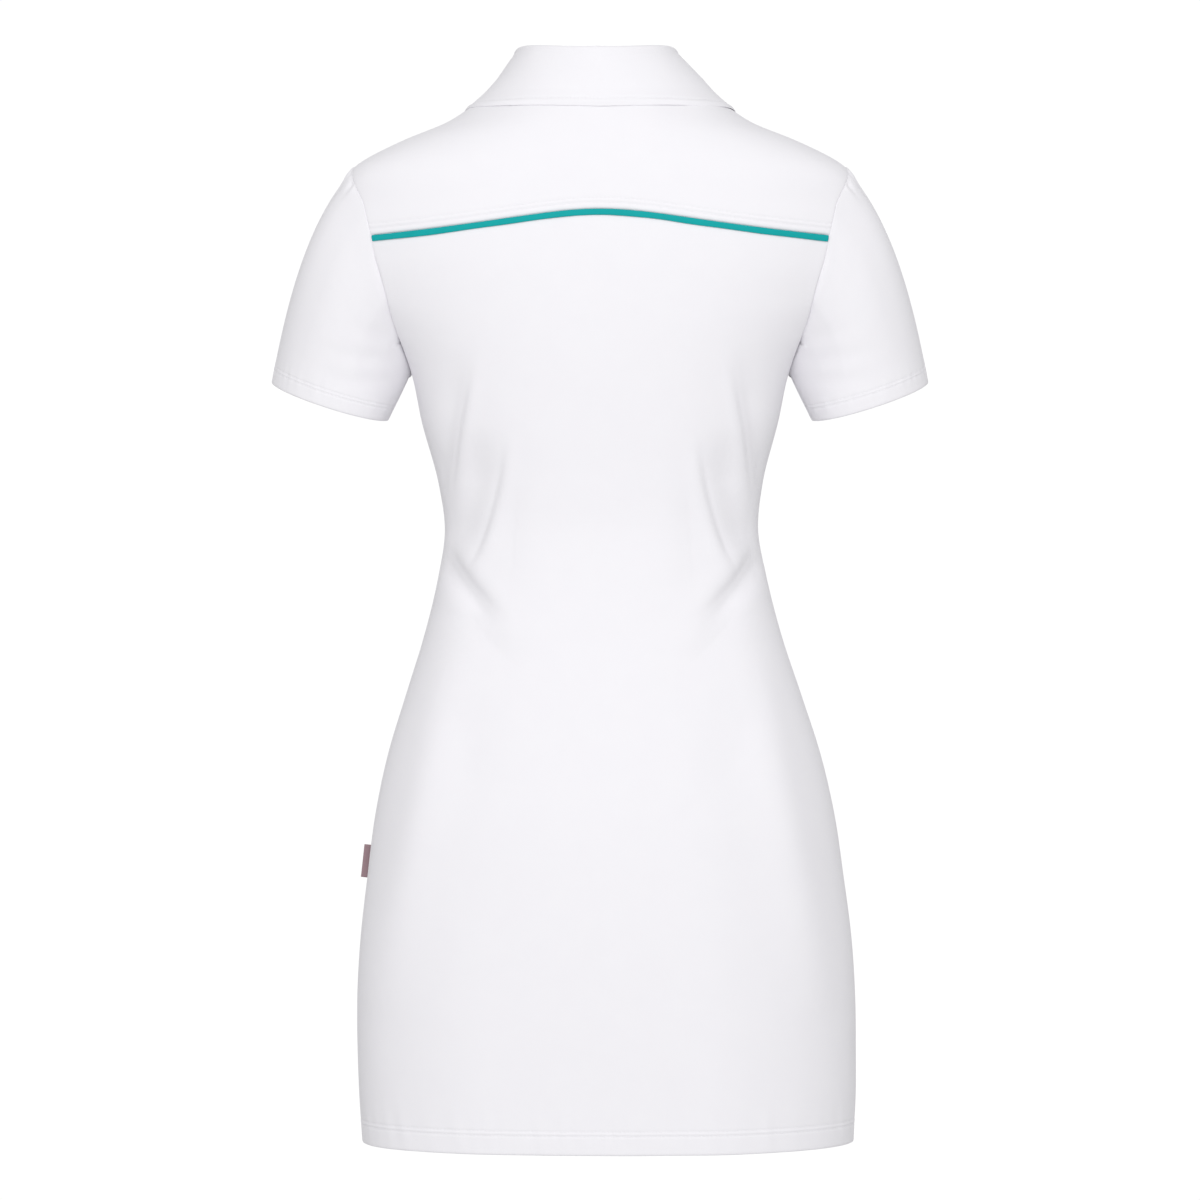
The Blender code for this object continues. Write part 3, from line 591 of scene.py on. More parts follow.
def cloth(name, face, thick, finish, keep=None, closed=False):
    """One closed piece of cloth from a grid of points on its face: columns go round and rows go
    up. The same grid lies one thickness behind it, and a rounded raw edge joins them."""
    rows, columns = face.shape[:2]
    normals = grid_normals(face, closed)
    thick = np.broadcast_to(thick, (rows, columns))[..., None]
    back = face - normals * thick
    if keep is None:
        keep = np.ones((rows - 1, columns if closed else columns - 1), bool)
    index = np.arange(rows * columns).reshape(rows, columns)
    if closed:
        index = np.concatenate([index, index[:, :1]], axis=1)
    cells = np.stack([index[:-1, :-1], index[:-1, 1:], index[1:, 1:], index[1:, :-1]], axis=-1)
    total = rows * columns
    quads = [cells[keep], cells[keep][:, ::-1] + total]
    padded = np.pad(keep, 1)
    if closed:
        padded[1:-1, 0], padded[1:-1, -1] = keep[:, -1], keep[:, 0]
    open_sides = [
        keep & ~padded[:-2, 1:-1],
        keep & ~padded[1:-1, 2:],
        keep & ~padded[2:, 1:-1],
        keep & ~padded[1:-1, :-2],
    ]
    ends = np.concatenate(
        [np.stack([cells[m][:, k], cells[m][:, (k + 1) % 4]], axis=-1) for k, m in enumerate(open_sides)]
    )
    flat_face, flat_back, flat_normal = (g.reshape(-1, 3) for g in (face, back, normals))
    outward = np.zeros_like(flat_face)
    way = unit(flat_face[ends[:, 1]] - flat_face[ends[:, 0]])
    for side in (0, 1):
        np.add.at(outward, ends[:, side], np.cross(way, flat_normal[ends[:, side]]))
    edge_points, place = np.unique(ends, return_inverse=True)
    place = place.reshape(ends.shape) + 2 * total
    bulge = 0.4 * thick.reshape(-1, 1)[edge_points]
    middle = 0.5 * (flat_face + flat_back)[edge_points] + unit(outward[edge_points]) * bulge
    a, b, ma, mb = ends[:, 0], ends[:, 1], place[:, 0], place[:, 1]
    quads.append(np.stack([b, a, ma, mb], axis=-1))
    quads.append(np.stack([mb, ma, a + total, b + total], axis=-1))
    across = run_along(face, axis=1)
    across -= across[:, columns // 2 : columns // 2 + 1]
    up = run_along(face[:, columns // 2])
    grain = np.stack([across, np.broadcast_to(up[:, None], across.shape), 0 * across], axis=-1)
    grain = grain.reshape(-1, 3)
    points = np.concatenate([flat_face, flat_back, middle])
    grain = np.concatenate([grain, grain, grain[edge_points]])
    return solid(name, points, np.concatenate(quads), finish, grain)


def solid(name, points, faces, finish, grain=None):
    """A smooth piece from points in millimetres. grain says where each point lies on the cloth."""
    faces = np.asarray(faces)
    used, place = np.unique(faces, return_inverse=True)
    faces = place.reshape(faces.shape)
    mesh = bpy.data.meshes.new(name)
    mesh.vertices.add(len(used))
    mesh.vertices.foreach_set("co", (points[used] * MM).astype(np.float32).ravel())
    mesh.loops.add(faces.size)
    mesh.loops.foreach_set("vertex_index", faces.astype(np.int32).ravel())
    mesh.polygons.add(len(faces))
    mesh.polygons.foreach_set("loop_start", np.arange(0, faces.size, faces.shape[1], dtype=np.int32))
    mesh.update(calc_edges=True)
    mesh.validate()
    mesh.shade_smooth()
    if grain is not None:
        layer = mesh.attributes.new("grain", "FLOAT_VECTOR", "POINT")
        layer.data.foreach_set("vector", (grain[used] * MM).astype(np.float32).ravel())
    mesh.materials.append(finish.material)
    piece = bpy.data.objects.new(name, mesh)
    bpy.context.scene.collection.objects.link(piece)
    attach(piece, "root")
    return piece


# The jersey's white and a darker tone of it. The darker one is partly a tone that varies at random and
# partly painted shade in the knit's hollows.
WHITE_LIGHT = (0.905, 0.895, 0.925, 1.0)
WHITE_DEEP_TONE_AND_SHADE = (0.875, 0.862, 0.900, 1.0)
WALE = 0.0008
COURSE = 0.0006
KNIT_DEPTH = 0.00010


def cloth_place(finish):
    """(place on the cloth, distance across it, distance up it), from the grain of a piece."""
    place = finish.node("ShaderNodeAttribute", {"attribute_name": "grain"}, output="Vector")
    across = finish.node("ShaderNodeSeparateXYZ", Vector=place)
    return place, across, Value(finish.tree, across.socket.node.outputs["Y"])


def knit(name, light, deep, constants):
    """Plain jersey: columns of small Vs, faintly uneven in tone and thickness, with painted shade."""
    made = Finish(name, constants)
    place, across, up = cloth_place(made)
    rib = abs((across / WALE).fraction() - 0.5) * 2
    loops = (up / COURSE + rib * 0.5).wave() * 0.5 + 0.5
    cloudy = made.node("ShaderNodeTexNoise", output="Fac", Vector=place, Scale=45.0, Detail=4.0)
    slubs = made.node("ShaderNodeTexNoise", output="Fac", Vector=place, Scale=900.0, Detail=2.0)
    # The colour mixes a tone that varies at random (cloudy) with painted shade: it is darker where the
    # loops and slubs lie low in the relief.
    made.feed("Base Color", made.blend(cloudy * 0.6 + slubs * 0.25 + loops * 0.15, deep, light))
    made.relief((1 - rib * rib) * 0.55 + loops * 0.3 + slubs * 0.3, KNIT_DEPTH, 0.55)
    return made


JERSEY = knit(
    "white_jersey",
    WHITE_LIGHT,
    WHITE_DEEP_TONE_AND_SHADE,
    {"Roughness": 0.86, "Specular IOR Level": 0.25, "Sheen Weight": 0.12, "Sheen Roughness": 0.5},
)
THREAD_WHITE = (0.88, 0.87, 0.90, 1)
THREAD = Finish("white_thread", {"Base Color": THREAD_WHITE, "Roughness": 0.6, "Specular IOR Level": 0.3})

# A cut edge sewn into a seam: how far each row of points lies inside the seam line, and how far it
# drops behind the face
SEAM_EDGE = [(0.05, 3.6), (0.05, 1.3), (0.35, 0.45), (1.0, 0.06)]
SEAM_INSETS, SEAM_DROPS = (np.array(column) for column in zip(*SEAM_EDGE))
# Round the armhole the body's edge is turned under only a little, and the sleeve's lies beneath it
ARMHOLE_DROPS = np.array([1.1, 0.5, 0.12, 0.0])
# A hem, from its raw edge inside, round the fold and up the outside: height over the fold, as a
# share of the turned-up height where it is negative, and drop
HEM_EDGE = [(-1.0, 2.3), (-0.7, 2.2), (-0.35, 2.15), (2.0, 2.1)]
HEM_EDGE += [(0.7, 1.9), (0.0, 1.05), (0.3, 0.35), (1.0, 0.04)]
BACK_COLUMNS = 210
COLUMN_CROWDING = 0.42


def crowded(count):
    """Fractions from 0 to 1 that lie closer together towards both ends."""
    s = np.linspace(0, 1, count + 1)
    return s - COLUMN_CROWDING * np.sin(2 * math.pi * s) / (2 * math.pi)


def spaced(start, end, step):
    """Evenly spaced numbers about a step apart, from start to just before end."""
    return np.linspace(start, end, max(2, int(round(abs(end - start) / step)) + 1))[:-1]


def edge_angle(level, side):
    """The angle at which the cloth ends on that level, at the side seam or the armhole's edge."""
    half = ARMHOLE_PLACES[180:] if side > 0 else ARMHOLE_PLACES[180::-1]
    order = np.argsort(half[:, 1])
    return np.interp(level, half[order, 1], np.abs(half[order, 0]), left=0.0, right=0.0)


def with_seam_columns(levels, inner, side):
    """Adds the sewn-in edges to rows of inner angles, which run from 0 to half a turn on the back
    and the front alike. Gives the angles and how far each point drops behind the face."""
    edge = edge_angle(levels, side)
    speed = np.linalg.norm(body(side * (edge + 1e-3), levels) - body(side * edge, levels), axis=-1) / 1e-3
    insets = SEAM_INSETS[None, :] / speed[:, None]
    start = edge[:, None] + insets
    end = math.pi - edge[:, None] - insets[:, ::-1]
    at_armhole = eased_step(edge, 0.0, 0.05)[:, None]
    turned = SEAM_DROPS + (ARMHOLE_DROPS - SEAM_DROPS) * at_armhole
    drops = np.concatenate([turned, 0 * inner, turned[:, ::-1]], axis=1)
    angles = np.concatenate([start, inner, end], axis=1)
    return angles - (0 if side > 0 else math.pi), drops


def back_columns(levels):
    """(angles, drops behind the face, share of the way across) of the points of rows across the back."""
    edge = edge_angle(levels, 1)[:, None]
    inner = edge + (math.pi - 2 * edge) * crowded(BACK_COLUMNS)[2:-2]
    angles, side_drops = with_seam_columns(levels, inner, 1)
    return angles, side_drops, np.clip((angles - edge) / (math.pi - 2 * edge), 0, 1)


def hem_rows(turned_up, rows):
    """(heights over the hem's fold, drops) from the raw edge inside to just above the stitches."""
    heights = [-share * turned_up if share < 0 else share for share, _ in HEM_EDGE]
    drops = [drop for _, drop in HEM_EDGE]
    outside = np.concatenate([spaced(2.6, rows[0] - 2.2, 2.0), spaced(rows[0] - 2.2, rows[1] + 3.2, 0.62)])
    return np.array(heights + list(outside)), np.array(drops + [0.0] * len(outside))


def armhole_levels(turns):
    """The levels at which rows of the body meet the armhole, for turns round it."""
    return np.array([armhole_place(float(t))[1] for t in turns])


HEM_TURNED_UP = 20.0
# Rows of points lie closer together from here up, where the waist is creased
CREASED_FROM = -470
SKIRT_FROM = HEM_Z + 22
HEM_HEIGHTS, HEM_DROPS = hem_rows(HEM_TURNED_UP, HEM_ROWS)
BACK_TURNS = [180, 172, 164, 156, 148] + list(np.arange(141, YOKE_TURN - 1, -3.25))
skirt = np.concatenate([spaced(SKIRT_FROM, CREASED_FROM, 6.5), spaced(CREASED_FROM, -224, 2.3)])
rise = armhole_levels(BACK_TURNS)
rise[-1] = YOKE_LEVEL
levels = np.concatenate([HEM_Z + HEM_HEIGHTS, skirt[skirt < rise[0] - 1.5], rise])
drops = np.concatenate([HEM_DROPS, np.zeros(len(levels) - len(HEM_DROPS))])
angles, side_drops, fraction = back_columns(levels)
share = np.clip((levels - rise[0]) / (YOKE_LEVEL - rise[0]), 0, 1)[:, None] ** 1.5
grid_levels = levels[:, None] + share * yoke_arch(fraction)
count = len(SEAM_EDGE)
seam_levels = grid_levels[-1] - SEAM_INSETS[::-1, None]
grid_levels = np.concatenate([grid_levels[:-1], seam_levels])
angles = np.concatenate([angles[:-1], np.repeat(angles[-1:], count, axis=0)])
drops = np.concatenate([drops[:-1], SEAM_DROPS[::-1]])[:, None]
side_drops = np.concatenate([side_drops[:-1], np.repeat(side_drops[-1:], count, axis=0)])
face = dress_surface(angles, grid_levels, np.maximum(drops, side_drops))
back_panel = cloth("back_panel_jersey", face, CLOTH, JERSEY)
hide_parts("back_panel")

# Front panel: one piece of the same jersey from the hem to the shoulder seams and the neck, with
# a slot down its middle that the two placket bands close.
NECK_EDGE = NECK_Z - 0.3
SLOT_WIDTH = 24.0
SLOT_BOTTOM = -196
FRONT_COLUMNS = 68
SLOT_COLUMNS = 8
FRONT_TURNS = np.arange(-180, 1, 6.0)
rise = armhole_levels(FRONT_TURNS)
skirt = np.concatenate([spaced(SKIRT_FROM, CREASED_FROM, 8), spaced(CREASED_FROM, -230, 5)])
tops = np.concatenate([spaced(SHOULDER_TIP_Z + 3, NECK_Z, 3), [NECK_EDGE]])
levels = np.concatenate([HEM_Z + HEM_HEIGHTS, skirt[skirt < rise[0] - 2], rise, tops])
levels[np.argmin(np.abs(levels - SLOT_BOTTOM))] = SLOT_BOTTOM
drops = np.concatenate([HEM_DROPS, np.zeros(len(levels) - len(HEM_DROPS))])[:, None]
edge = edge_angle(levels, -1)[:, None]
slot = np.arcsin(0.5 * SLOT_WIDTH / eased(levels[:, None], RING_LEVELS, RING_VALUES)[:, 4])[:, None]
s = np.linspace(0, 1, FRONT_COLUMNS + 1)[2:]
right = edge + (0.5 * math.pi - slot - edge) * (s + COLUMN_CROWDING * (s * s - s))
middle = 0.5 * math.pi + slot * np.linspace(-1, 1, SLOT_COLUMNS + 1)[1:-1]
inner = np.concatenate([right, middle, math.pi - right[:, ::-1]], axis=1)
angles, side_drops = with_seam_columns(levels, inner, -1)
first = count + right.shape[1] - 1
keep = np.ones((len(levels) - 1, angles.shape[1] - 1), bool)
keep[np.argmax(levels >= SLOT_BOTTOM) :, first : first + SLOT_COLUMNS] = False
face = dress_surface(angles, levels[:, None] + 0 * angles, np.maximum(drops, side_drops))
front_panel = cloth("front_panel_jersey", face, CLOTH, JERSEY, keep)
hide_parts("front_panel")

# Back yoke: one layer of the jersey over the shoulder blades. Its lower edge arches up in the
# middle, and two rows of stitches hold the seam flat above the piping.
YOKE_TURNED = 14.0
low = np.concatenate([SEAM_INSETS, spaced(1.7, YOKE_TURNED, 0.62)])
turns = np.arange(YOKE_TURN - 12, -1, -3.0)
rise = armhole_levels(turns)
tops = np.concatenate([spaced(SHOULDER_TIP_Z + 2.5, NECK_Z, 2.5), [NECK_EDGE]])
levels = np.concatenate([YOKE_LEVEL + low, rise, tops])
drops = np.zeros((len(levels), 1))
drops[: len(SEAM_DROPS), 0] = SEAM_DROPS
angles, side_drops, fraction = back_columns(levels)
over = (levels - YOKE_LEVEL - YOKE_TURNED) / (SHOULDER_TIP_Z - YOKE_LEVEL - YOKE_TURNED)
share = 1 - np.clip(over, 0, 1)[:, None]
face = dress_surface(angles, levels[:, None] + share * yoke_arch(fraction), np.maximum(drops, side_drops))
back_yoke = cloth("back_yoke_jersey", face, CLOTH, JERSEY)
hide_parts("back_yoke")

# Thread: white polyester, laid by a twin needle. Each stitch is a short raised strand that dives
# into the cloth at both ends.
STITCH_PITCH = 3.1
STITCH_LENGTH = 2.5
STITCH_WIDTH = 0.42
STITCH_SIDES = 6
STITCH_AIM = 0.4
# Place along the stitch, thickness and height over the cloth, from one end to the other
STITCH_SECTIONS = [(-0.5, 0.0, -0.16), (-0.3, 0.8, 0.05), (0.0, 1.0, 0.12)]
STITCH_SECTIONS += [(0.3, 0.8, 0.05), (0.5, 0.0, -0.16)]


def stitch_pattern():
    """Points (along, across, up) and faces of one stitch."""
    points = []
    for along, thick, up in STITCH_SECTIONS:
        for k in range(STITCH_SIDES):
            turn = 2 * math.pi * k / STITCH_SIDES
            reach = 0.5 * STITCH_WIDTH * max(thick, 0.15)
            points.append((along * STITCH_LENGTH, reach * math.cos(turn), up + reach * math.sin(turn)))
    faces = ring_quads(len(STITCH_SECTIONS), STITCH_SIDES)
    last = (len(STITCH_SECTIONS) - 1) * STITCH_SIDES
    for a, order in ((0, (3, 2, 1, 0)), (0, (5, 4, 3, 0)), (last, (0, 1, 2, 3)), (last, (0, 3, 4, 5))):
        faces.append(tuple(a + k for k in order))
    return np.array(points), np.array(faces)


def sew(name, lines):
    """A joined piece of stitches along lines, each a pair of points and outward normals."""
    pattern, pattern_faces = stitch_pattern()
    points, faces, total = [], [], 0
    for line, normals in lines:
        run = run_along(line)
        at = np.arange(0.5 * STITCH_PITCH, run[-1], STITCH_PITCH)
        centre = points_at(at, run, line)
        up = unit(points_at(at, run, normals))
        along = unit(points_at(at + STITCH_AIM, run, line) - points_at(at - STITCH_AIM, run, line))
        across = np.cross(up, along)
        for c, a, b, u in zip(centre, along, across, up):
            points.append(c + pattern @ np.stack([a, b, u]))
            faces.append(pattern_faces + total)
            total += len(pattern)
    piece = solid(name, np.concatenate(points), np.concatenate(faces), THREAD)
    return piece


def body_line(angles, levels):
    """A line on the dress with its outward normals, to sew along."""
    return dress_surface(angles, levels), body_frame(angles, levels)[0]


around = np.linspace(0, 2 * math.pi, 900)
wrapped = np.where(around > math.pi, around - 2 * math.pi, around)
sew("hem_stitches", [body_line(wrapped, HEM_Z + row + 0 * around) for row in HEM_ROWS])
YOKE_END = YOKE_EDGE + 0.012
across = np.linspace(YOKE_END, math.pi - YOKE_END, 500)
sew("yoke_stitches", [body_line(across, yoke_seam_level(across) + row) for row in YOKE_ROWS])

# Piping: a strip of teal jersey folded flat and caught in the yoke seam, so that it hangs over the
# top of the back panel.
PIPING_THICK = 0.33
PIPING_LIFT = 0.2
PIPING_COLUMNS = 300
# The piping's teal and a darker tone of it. The darker one is partly a tone that varies at random and
# partly painted shade in the knit's hollows.
TEAL_LIGHT = (0.005, 0.420, 0.425, 1.0)
TEAL_DEEP_TONE_AND_SHADE = (0.003, 0.330, 0.335, 1.0)
PIPING = knit("teal_piping", TEAL_LIGHT, TEAL_DEEP_TONE_AND_SHADE, {"Roughness": 0.75, "Specular IOR Level": 0.2})
# From the seam down the hidden layer, round the fold and up the layer that shows: distance below
# the seam and height over the panel
PIPING_ROWS = [(0.2, 0.1), (1.6, 0.1), (3.2, 0.1), (4.5, 0.12), (4.85, 0.22), (5.0, 0.45), (4.92, 0.72)]
PIPING_ROWS += [(4.6, 0.9), (3.6, 1.02), (2.4, 1.05), (1.2, 0.98), (0.5, 0.8), (0.15, 0.5)]
angles = YOKE_END + (math.pi - 2 * YOKE_END) * crowded(PIPING_COLUMNS)
below = np.array([row for row, _ in PIPING_ROWS])[:, None]
crown = np.array([lift for _, lift in PIPING_ROWS])[:, None]
grid_levels = yoke_seam_level(angles) - below * (1 + 0.03 * ripple(angles * 12, 21))
grid_angles = np.broadcast_to(angles, grid_levels.shape)
normal, _ = body_frame(grid_angles, grid_levels)
lift = PIPING_LIFT + crown + 0.12 * ripple(angles * 16, 22)
face = dress_surface(grid_angles, grid_levels, stitch_rows=False) + normal * lift[..., None]
piping = cloth("piping_strip", face, PIPING_THICK, PIPING)
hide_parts("yoke_piping")

# Placket: two bands of doubled jersey at the front, right over left. The upper one lies over the
# slot and its end is stitched down square. Three buttons fasten it.
BAND_WIDTH = 30.0
BAND_BOTTOM = -205
BAND_COLUMNS = 26
BAND_THICK = 1.4
UPPER_LIFT = 1.95
UNDER_LIFT = -1.35
BAND_EDGE = 0.9
BAND_EDGE_DROP = 0.35
EDGE_STITCH = 2.4
BOX_STITCH = 10.0
BAND_ROW = 0.5 * BAND_WIDTH - EDGE_STITCH
BAND_ROW_DIP = 0.22
BAND_ROW_WIDTH = 0.7


def band_surface(across, level, lift):
    """Points of a band on the middle of the front, at a distance across it and a level."""
    depth = eased(np.asarray(level, float)[..., None], RING_LEVELS, RING_VALUES)[..., 4]
    angle = -0.5 * math.pi + np.arcsin(across / depth)
    flat = body(angle, level)
    normal, _ = body_frame(angle, level)
    moved = soft_waves(flat, angle) + lift
    for row in (-BAND_ROW, BAND_ROW):
        moved = moved - BAND_ROW_DIP * bell(across - row, BAND_ROW_WIDTH)
    return flat + normal * moved[..., None], normal


def band(name, node, lift):
    """One band of the placket, with its rounded edges, in place of its node."""
    half = 0.5 * BAND_WIDTH
    across = np.linspace(-half, half, BAND_COLUMNS + 1)
    across = np.concatenate([[-half], [-half + 0.2], across[1:-1], [half - 0.2], [half]])
    upwards = spaced(BAND_BOTTOM + 1.2, NECK_Z, 2.2)
    levels = np.concatenate([[BAND_BOTTOM, BAND_BOTTOM + 0.2], upwards, [NECK_Z - 0.4]])
    sunk = BAND_EDGE_DROP * np.clip(1 - (half - np.abs(across)) / BAND_EDGE, 0, 1) ** 2
    sunk = sunk + BAND_EDGE_DROP * np.clip(1 - (levels - BAND_BOTTOM) / BAND_EDGE, 0, 1)[:, None] ** 2
    grid_levels = levels[:, None] + 0 * across
    face, _ = band_surface(across + 0 * grid_levels, grid_levels, lift - sunk)
    made = cloth(name, face, BAND_THICK, JERSEY)
    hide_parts(node)


band("placket_upper_band", "placket_upper", UPPER_LIFT)
band("placket_under_band", "placket_under", UNDER_LIFT)
lines = []
levels = np.linspace(BAND_BOTTOM + EDGE_STITCH, NECK_Z - 3, 300)
for row in (-BAND_ROW, BAND_ROW):
    lines.append(band_surface(row + 0 * levels, levels, UPPER_LIFT))
across = np.linspace(-BAND_ROW, BAND_ROW, 60)
for level in (BAND_BOTTOM + EDGE_STITCH, BAND_BOTTOM + BOX_STITCH):
    lines.append(band_surface(across, level + 0 * across, UPPER_LIFT))
sew("placket_stitches", lines)

# Buttonholes: a thin slot worked all round with close thread, upright on the band
HOLE_LENGTH = 15.0
HOLE_WIDTH = 2.6
BUTTON_LEVELS = [-22, -86, -150]
HOLE_BARS = 46
BAR_HALF = 0.16
BAR_THICK = 0.5
HALF_SLOT = 0.25
# The sides of one bar of thread, from its four corners on top and the four below them
BAR_FACES = np.array(
    [[3, 2, 1, 0], [4, 5, 6, 7], [0, 1, 5, 4], [1, 2, 6, 5], [2, 3, 7, 6], [3, 0, 4, 7]]
)
points, faces = [], []
for level in BUTTON_LEVELS:
    for k in range(HOLE_BARS):
        for side in (-1, 1):
            height = level + HOLE_LENGTH * (k / (HOLE_BARS - 1) - 0.5)
            near, far = side * HALF_SLOT, side * 0.5 * HOLE_WIDTH
            ends = np.array([near, near, far, far])
            heights = height + BAR_HALF * np.array([-1.0, 1.0, 1.0, -1.0])
            top, normal = band_surface(ends, heights, UPPER_LIFT + 0.5 * BAR_THICK)
            order = [0, 1, 2, 3] if side < 0 else [3, 2, 1, 0]
            start = len(points)
            points.extend(top[order])
            points.extend((top - normal * BAR_THICK)[order])
            faces.extend(start + BAR_FACES)
buttonholes = solid("buttonholes", np.array(points), faces, THREAD)

# Buttons: turned white polyester, with a raised rim and four holes sewn through with white thread
BUTTON_RADIUS = 5.6
BUTTON_HEIGHT = 2.4
BUTTON_LIFT = 2.5
BUTTON_SIDES = 64
HOLE_RADIUS = 0.8
HOLE_REACH = 1.55
HOLE_DEPTH = 1.1
# The lathe's cut from the middle of the face, over the rim and back underneath: shares of the
# radius and of the height. The flat middle has close rings, which the holes are pressed into.
BUTTON_MIDDLE = 0.62
FLAT_REACHES = [0.05, 0.10, 0.14, 0.18, 0.22, 0.26, 0.30, 0.34, 0.38, 0.42]
RIM = [(0.46, 0.63), (0.52, 0.66), (0.60, 0.74), (0.68, 0.86), (0.75, 0.96), (0.82, 1.0), (0.90, 0.97)]
RIM += [(0.96, 0.86), (1.0, 0.66), (1.0, 0.45), (0.97, 0.25), (0.88, 0.08), (0.7, 0.0)]
BUTTON_PROFILE = [(reach, BUTTON_MIDDLE) for reach in FLAT_REACHES] + RIM
BUTTON_TOP_RINGS = 20
PEARL = Finish("button_plastic", {"Roughness": 0.22, "Coat Weight": 0.3, "Coat Roughness": 0.08})
place = PEARL.node("ShaderNodeTexCoord", output="Object")
swirl = PEARL.node(
    "ShaderNodeTexNoise", output="Fac", Vector=place, Scale=180.0, Detail=3.0, Distortion=1.4
)
PEARL.feed("Base Color", PEARL.blend(swirl, (0.80, 0.80, 0.79, 1), (0.90, 0.90, 0.885, 1)))
for number, level in enumerate(BUTTON_LEVELS, 1):
    centre = body(-0.5 * math.pi, float(level))
    normal, up = body_frame(-0.5 * math.pi, float(level))
    right = np.cross(up, normal)
    turn = 2 * math.pi * np.arange(BUTTON_SIDES) / BUTTON_SIDES
    rings = []
    for row, (reach, height) in enumerate(BUTTON_PROFILE):
        u = BUTTON_RADIUS * reach * np.cos(turn)
        v = BUTTON_RADIUS * reach * np.sin(turn)
        h = np.full(BUTTON_SIDES, BUTTON_HEIGHT * height)
        if row < BUTTON_TOP_RINGS:
            for hole in range(4):
                hu = HOLE_REACH * math.cos(math.pi * (0.25 + 0.5 * hole))
                hv = HOLE_REACH * math.sin(math.pi * (0.25 + 0.5 * hole))
                h -= HOLE_DEPTH * eased_step(HOLE_RADIUS - np.hypot(u - hu, v - hv), -0.12, 0.14)
        rings.append(centre + normal * (BUTTON_LIFT + h)[:, None] + right * u[:, None] + up * v[:, None])
    top = centre + normal * (BUTTON_LIFT + BUTTON_HEIGHT * BUTTON_MIDDLE)
    points = np.concatenate([[top], *rings, [centre + normal * BUTTON_LIFT]])
    triangles = []
    for a, b, c, d in ring_quads(len(rings), BUTTON_SIDES, first=1):
        triangles += [(a, b, c), (a, c, d)]
    last = len(points) - 1
    low = last - BUTTON_SIDES
    for k in range(BUTTON_SIDES):
        n = (k + 1) % BUTTON_SIDES
        triangles += [(0, 1 + n, 1 + k), (low + k, low + n, last)]
    button = solid(f"button_{number}_turned", points, triangles, PEARL)
    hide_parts(f"button_{number}")
    bars = []
    for side in (-1, 1):
        ends = np.linspace(-1, 1, 12)[:, None]
        reach = HOLE_REACH * math.cos(0.25 * math.pi)
        lift = BUTTON_LIFT + BUTTON_HEIGHT * BUTTON_MIDDLE + 0.12
        line = centre + normal * lift + right * side * reach + up * ends * (STITCH_LENGTH * 0.5)
        bars.append((line, np.broadcast_to(normal, line.shape)))
    sew(f"button_{number}_thread", bars)

# Collar: a stand inside the neck and a leaf that turns down over it, in one folded piece of doubled
# jersey, with one row of stitches along the leaf's edge. For each angle round the neck the table
# gives the fold's place over the seam and where the leaf's edge lies on the dress.
CollarRow = namedtuple("CollarRow", "neck_angle fold_in fold_up edge_angle edge_level edge_lift")
COLLAR = [
    CollarRow(-88.2, 3.0, 22, -65.0, -80, 2.2),
    CollarRow(-75, 3.5, 22, -60.0, -70, 2.0),
    CollarRow(-50, 6.0, 22, -45.0, -50, 1.6),
    CollarRow(-25, 9.0, 23, -23.0, -32, 1.0),
    CollarRow(0, 15.5, 24, 0.0, -26, 0.1),
    CollarRow(45, 8.0, 27, 45.0, -26, 0.15),
    CollarRow(90, 2.0, 28, 90.0, -28, 0.1),
]
COLLAR_LEAN = 3.0
COLLAR_THICK = 1.5
COLLAR_EDGE_THICK = 0.6
COLLAR_EDGE_WIDTH = 5.0
COLLAR_FOLD_RADIUS = 3.2
COLLAR_CLEARANCE = 1.4
COLLAR_SEAM_RISE = 0.4
COLLAR_LEAF_SPREAD = (0.06, 0.012)
COLLAR_HALF_COLUMNS = 96
COLLAR_TOPSTITCH = 6.7
COLLAR_STITCH_DIP = 0.38
COLLAR_STITCH_WIDTH = 1.0
LEVEL_TRIES = np.linspace(-140, NECK_Z, 260)


def collar_value(column, angle):
    """A column of the collar's table at an angle round the neck."""
    return float(eased(angle, [row.neck_angle for row in COLLAR], [getattr(row, column) for row in COLLAR]))


def bezier(p0, p1, p2, p3, t):
    """Points of the curve that leaves p0 towards p1 and reaches p3 from p2, for shares t of it."""
    return p0 * (1 - t) ** 3 + p1 * 3 * t * (1 - t) ** 2 + p2 * 3 * t * t * (1 - t) + p3 * t**3


def clear_of_body(points, room):
    """The points moved out from the neck's axis until each clears the body by its room."""
    moved = points.copy()
    for row, point in enumerate(points):
        theta = math.atan2(point[1], point[0])
        if point[2] > body(theta, NECK_Z)[2]:
            continue
        level = float(np.interp(point[2], body(theta, LEVEL_TRIES)[:, 2], LEVEL_TRIES))
        on_body = body(theta, level)
        need = math.hypot(on_body[0], on_body[1]) + room[row]
        moved[row, :2] *= max(1.0, need / math.hypot(point[0], point[1]))
    return moved


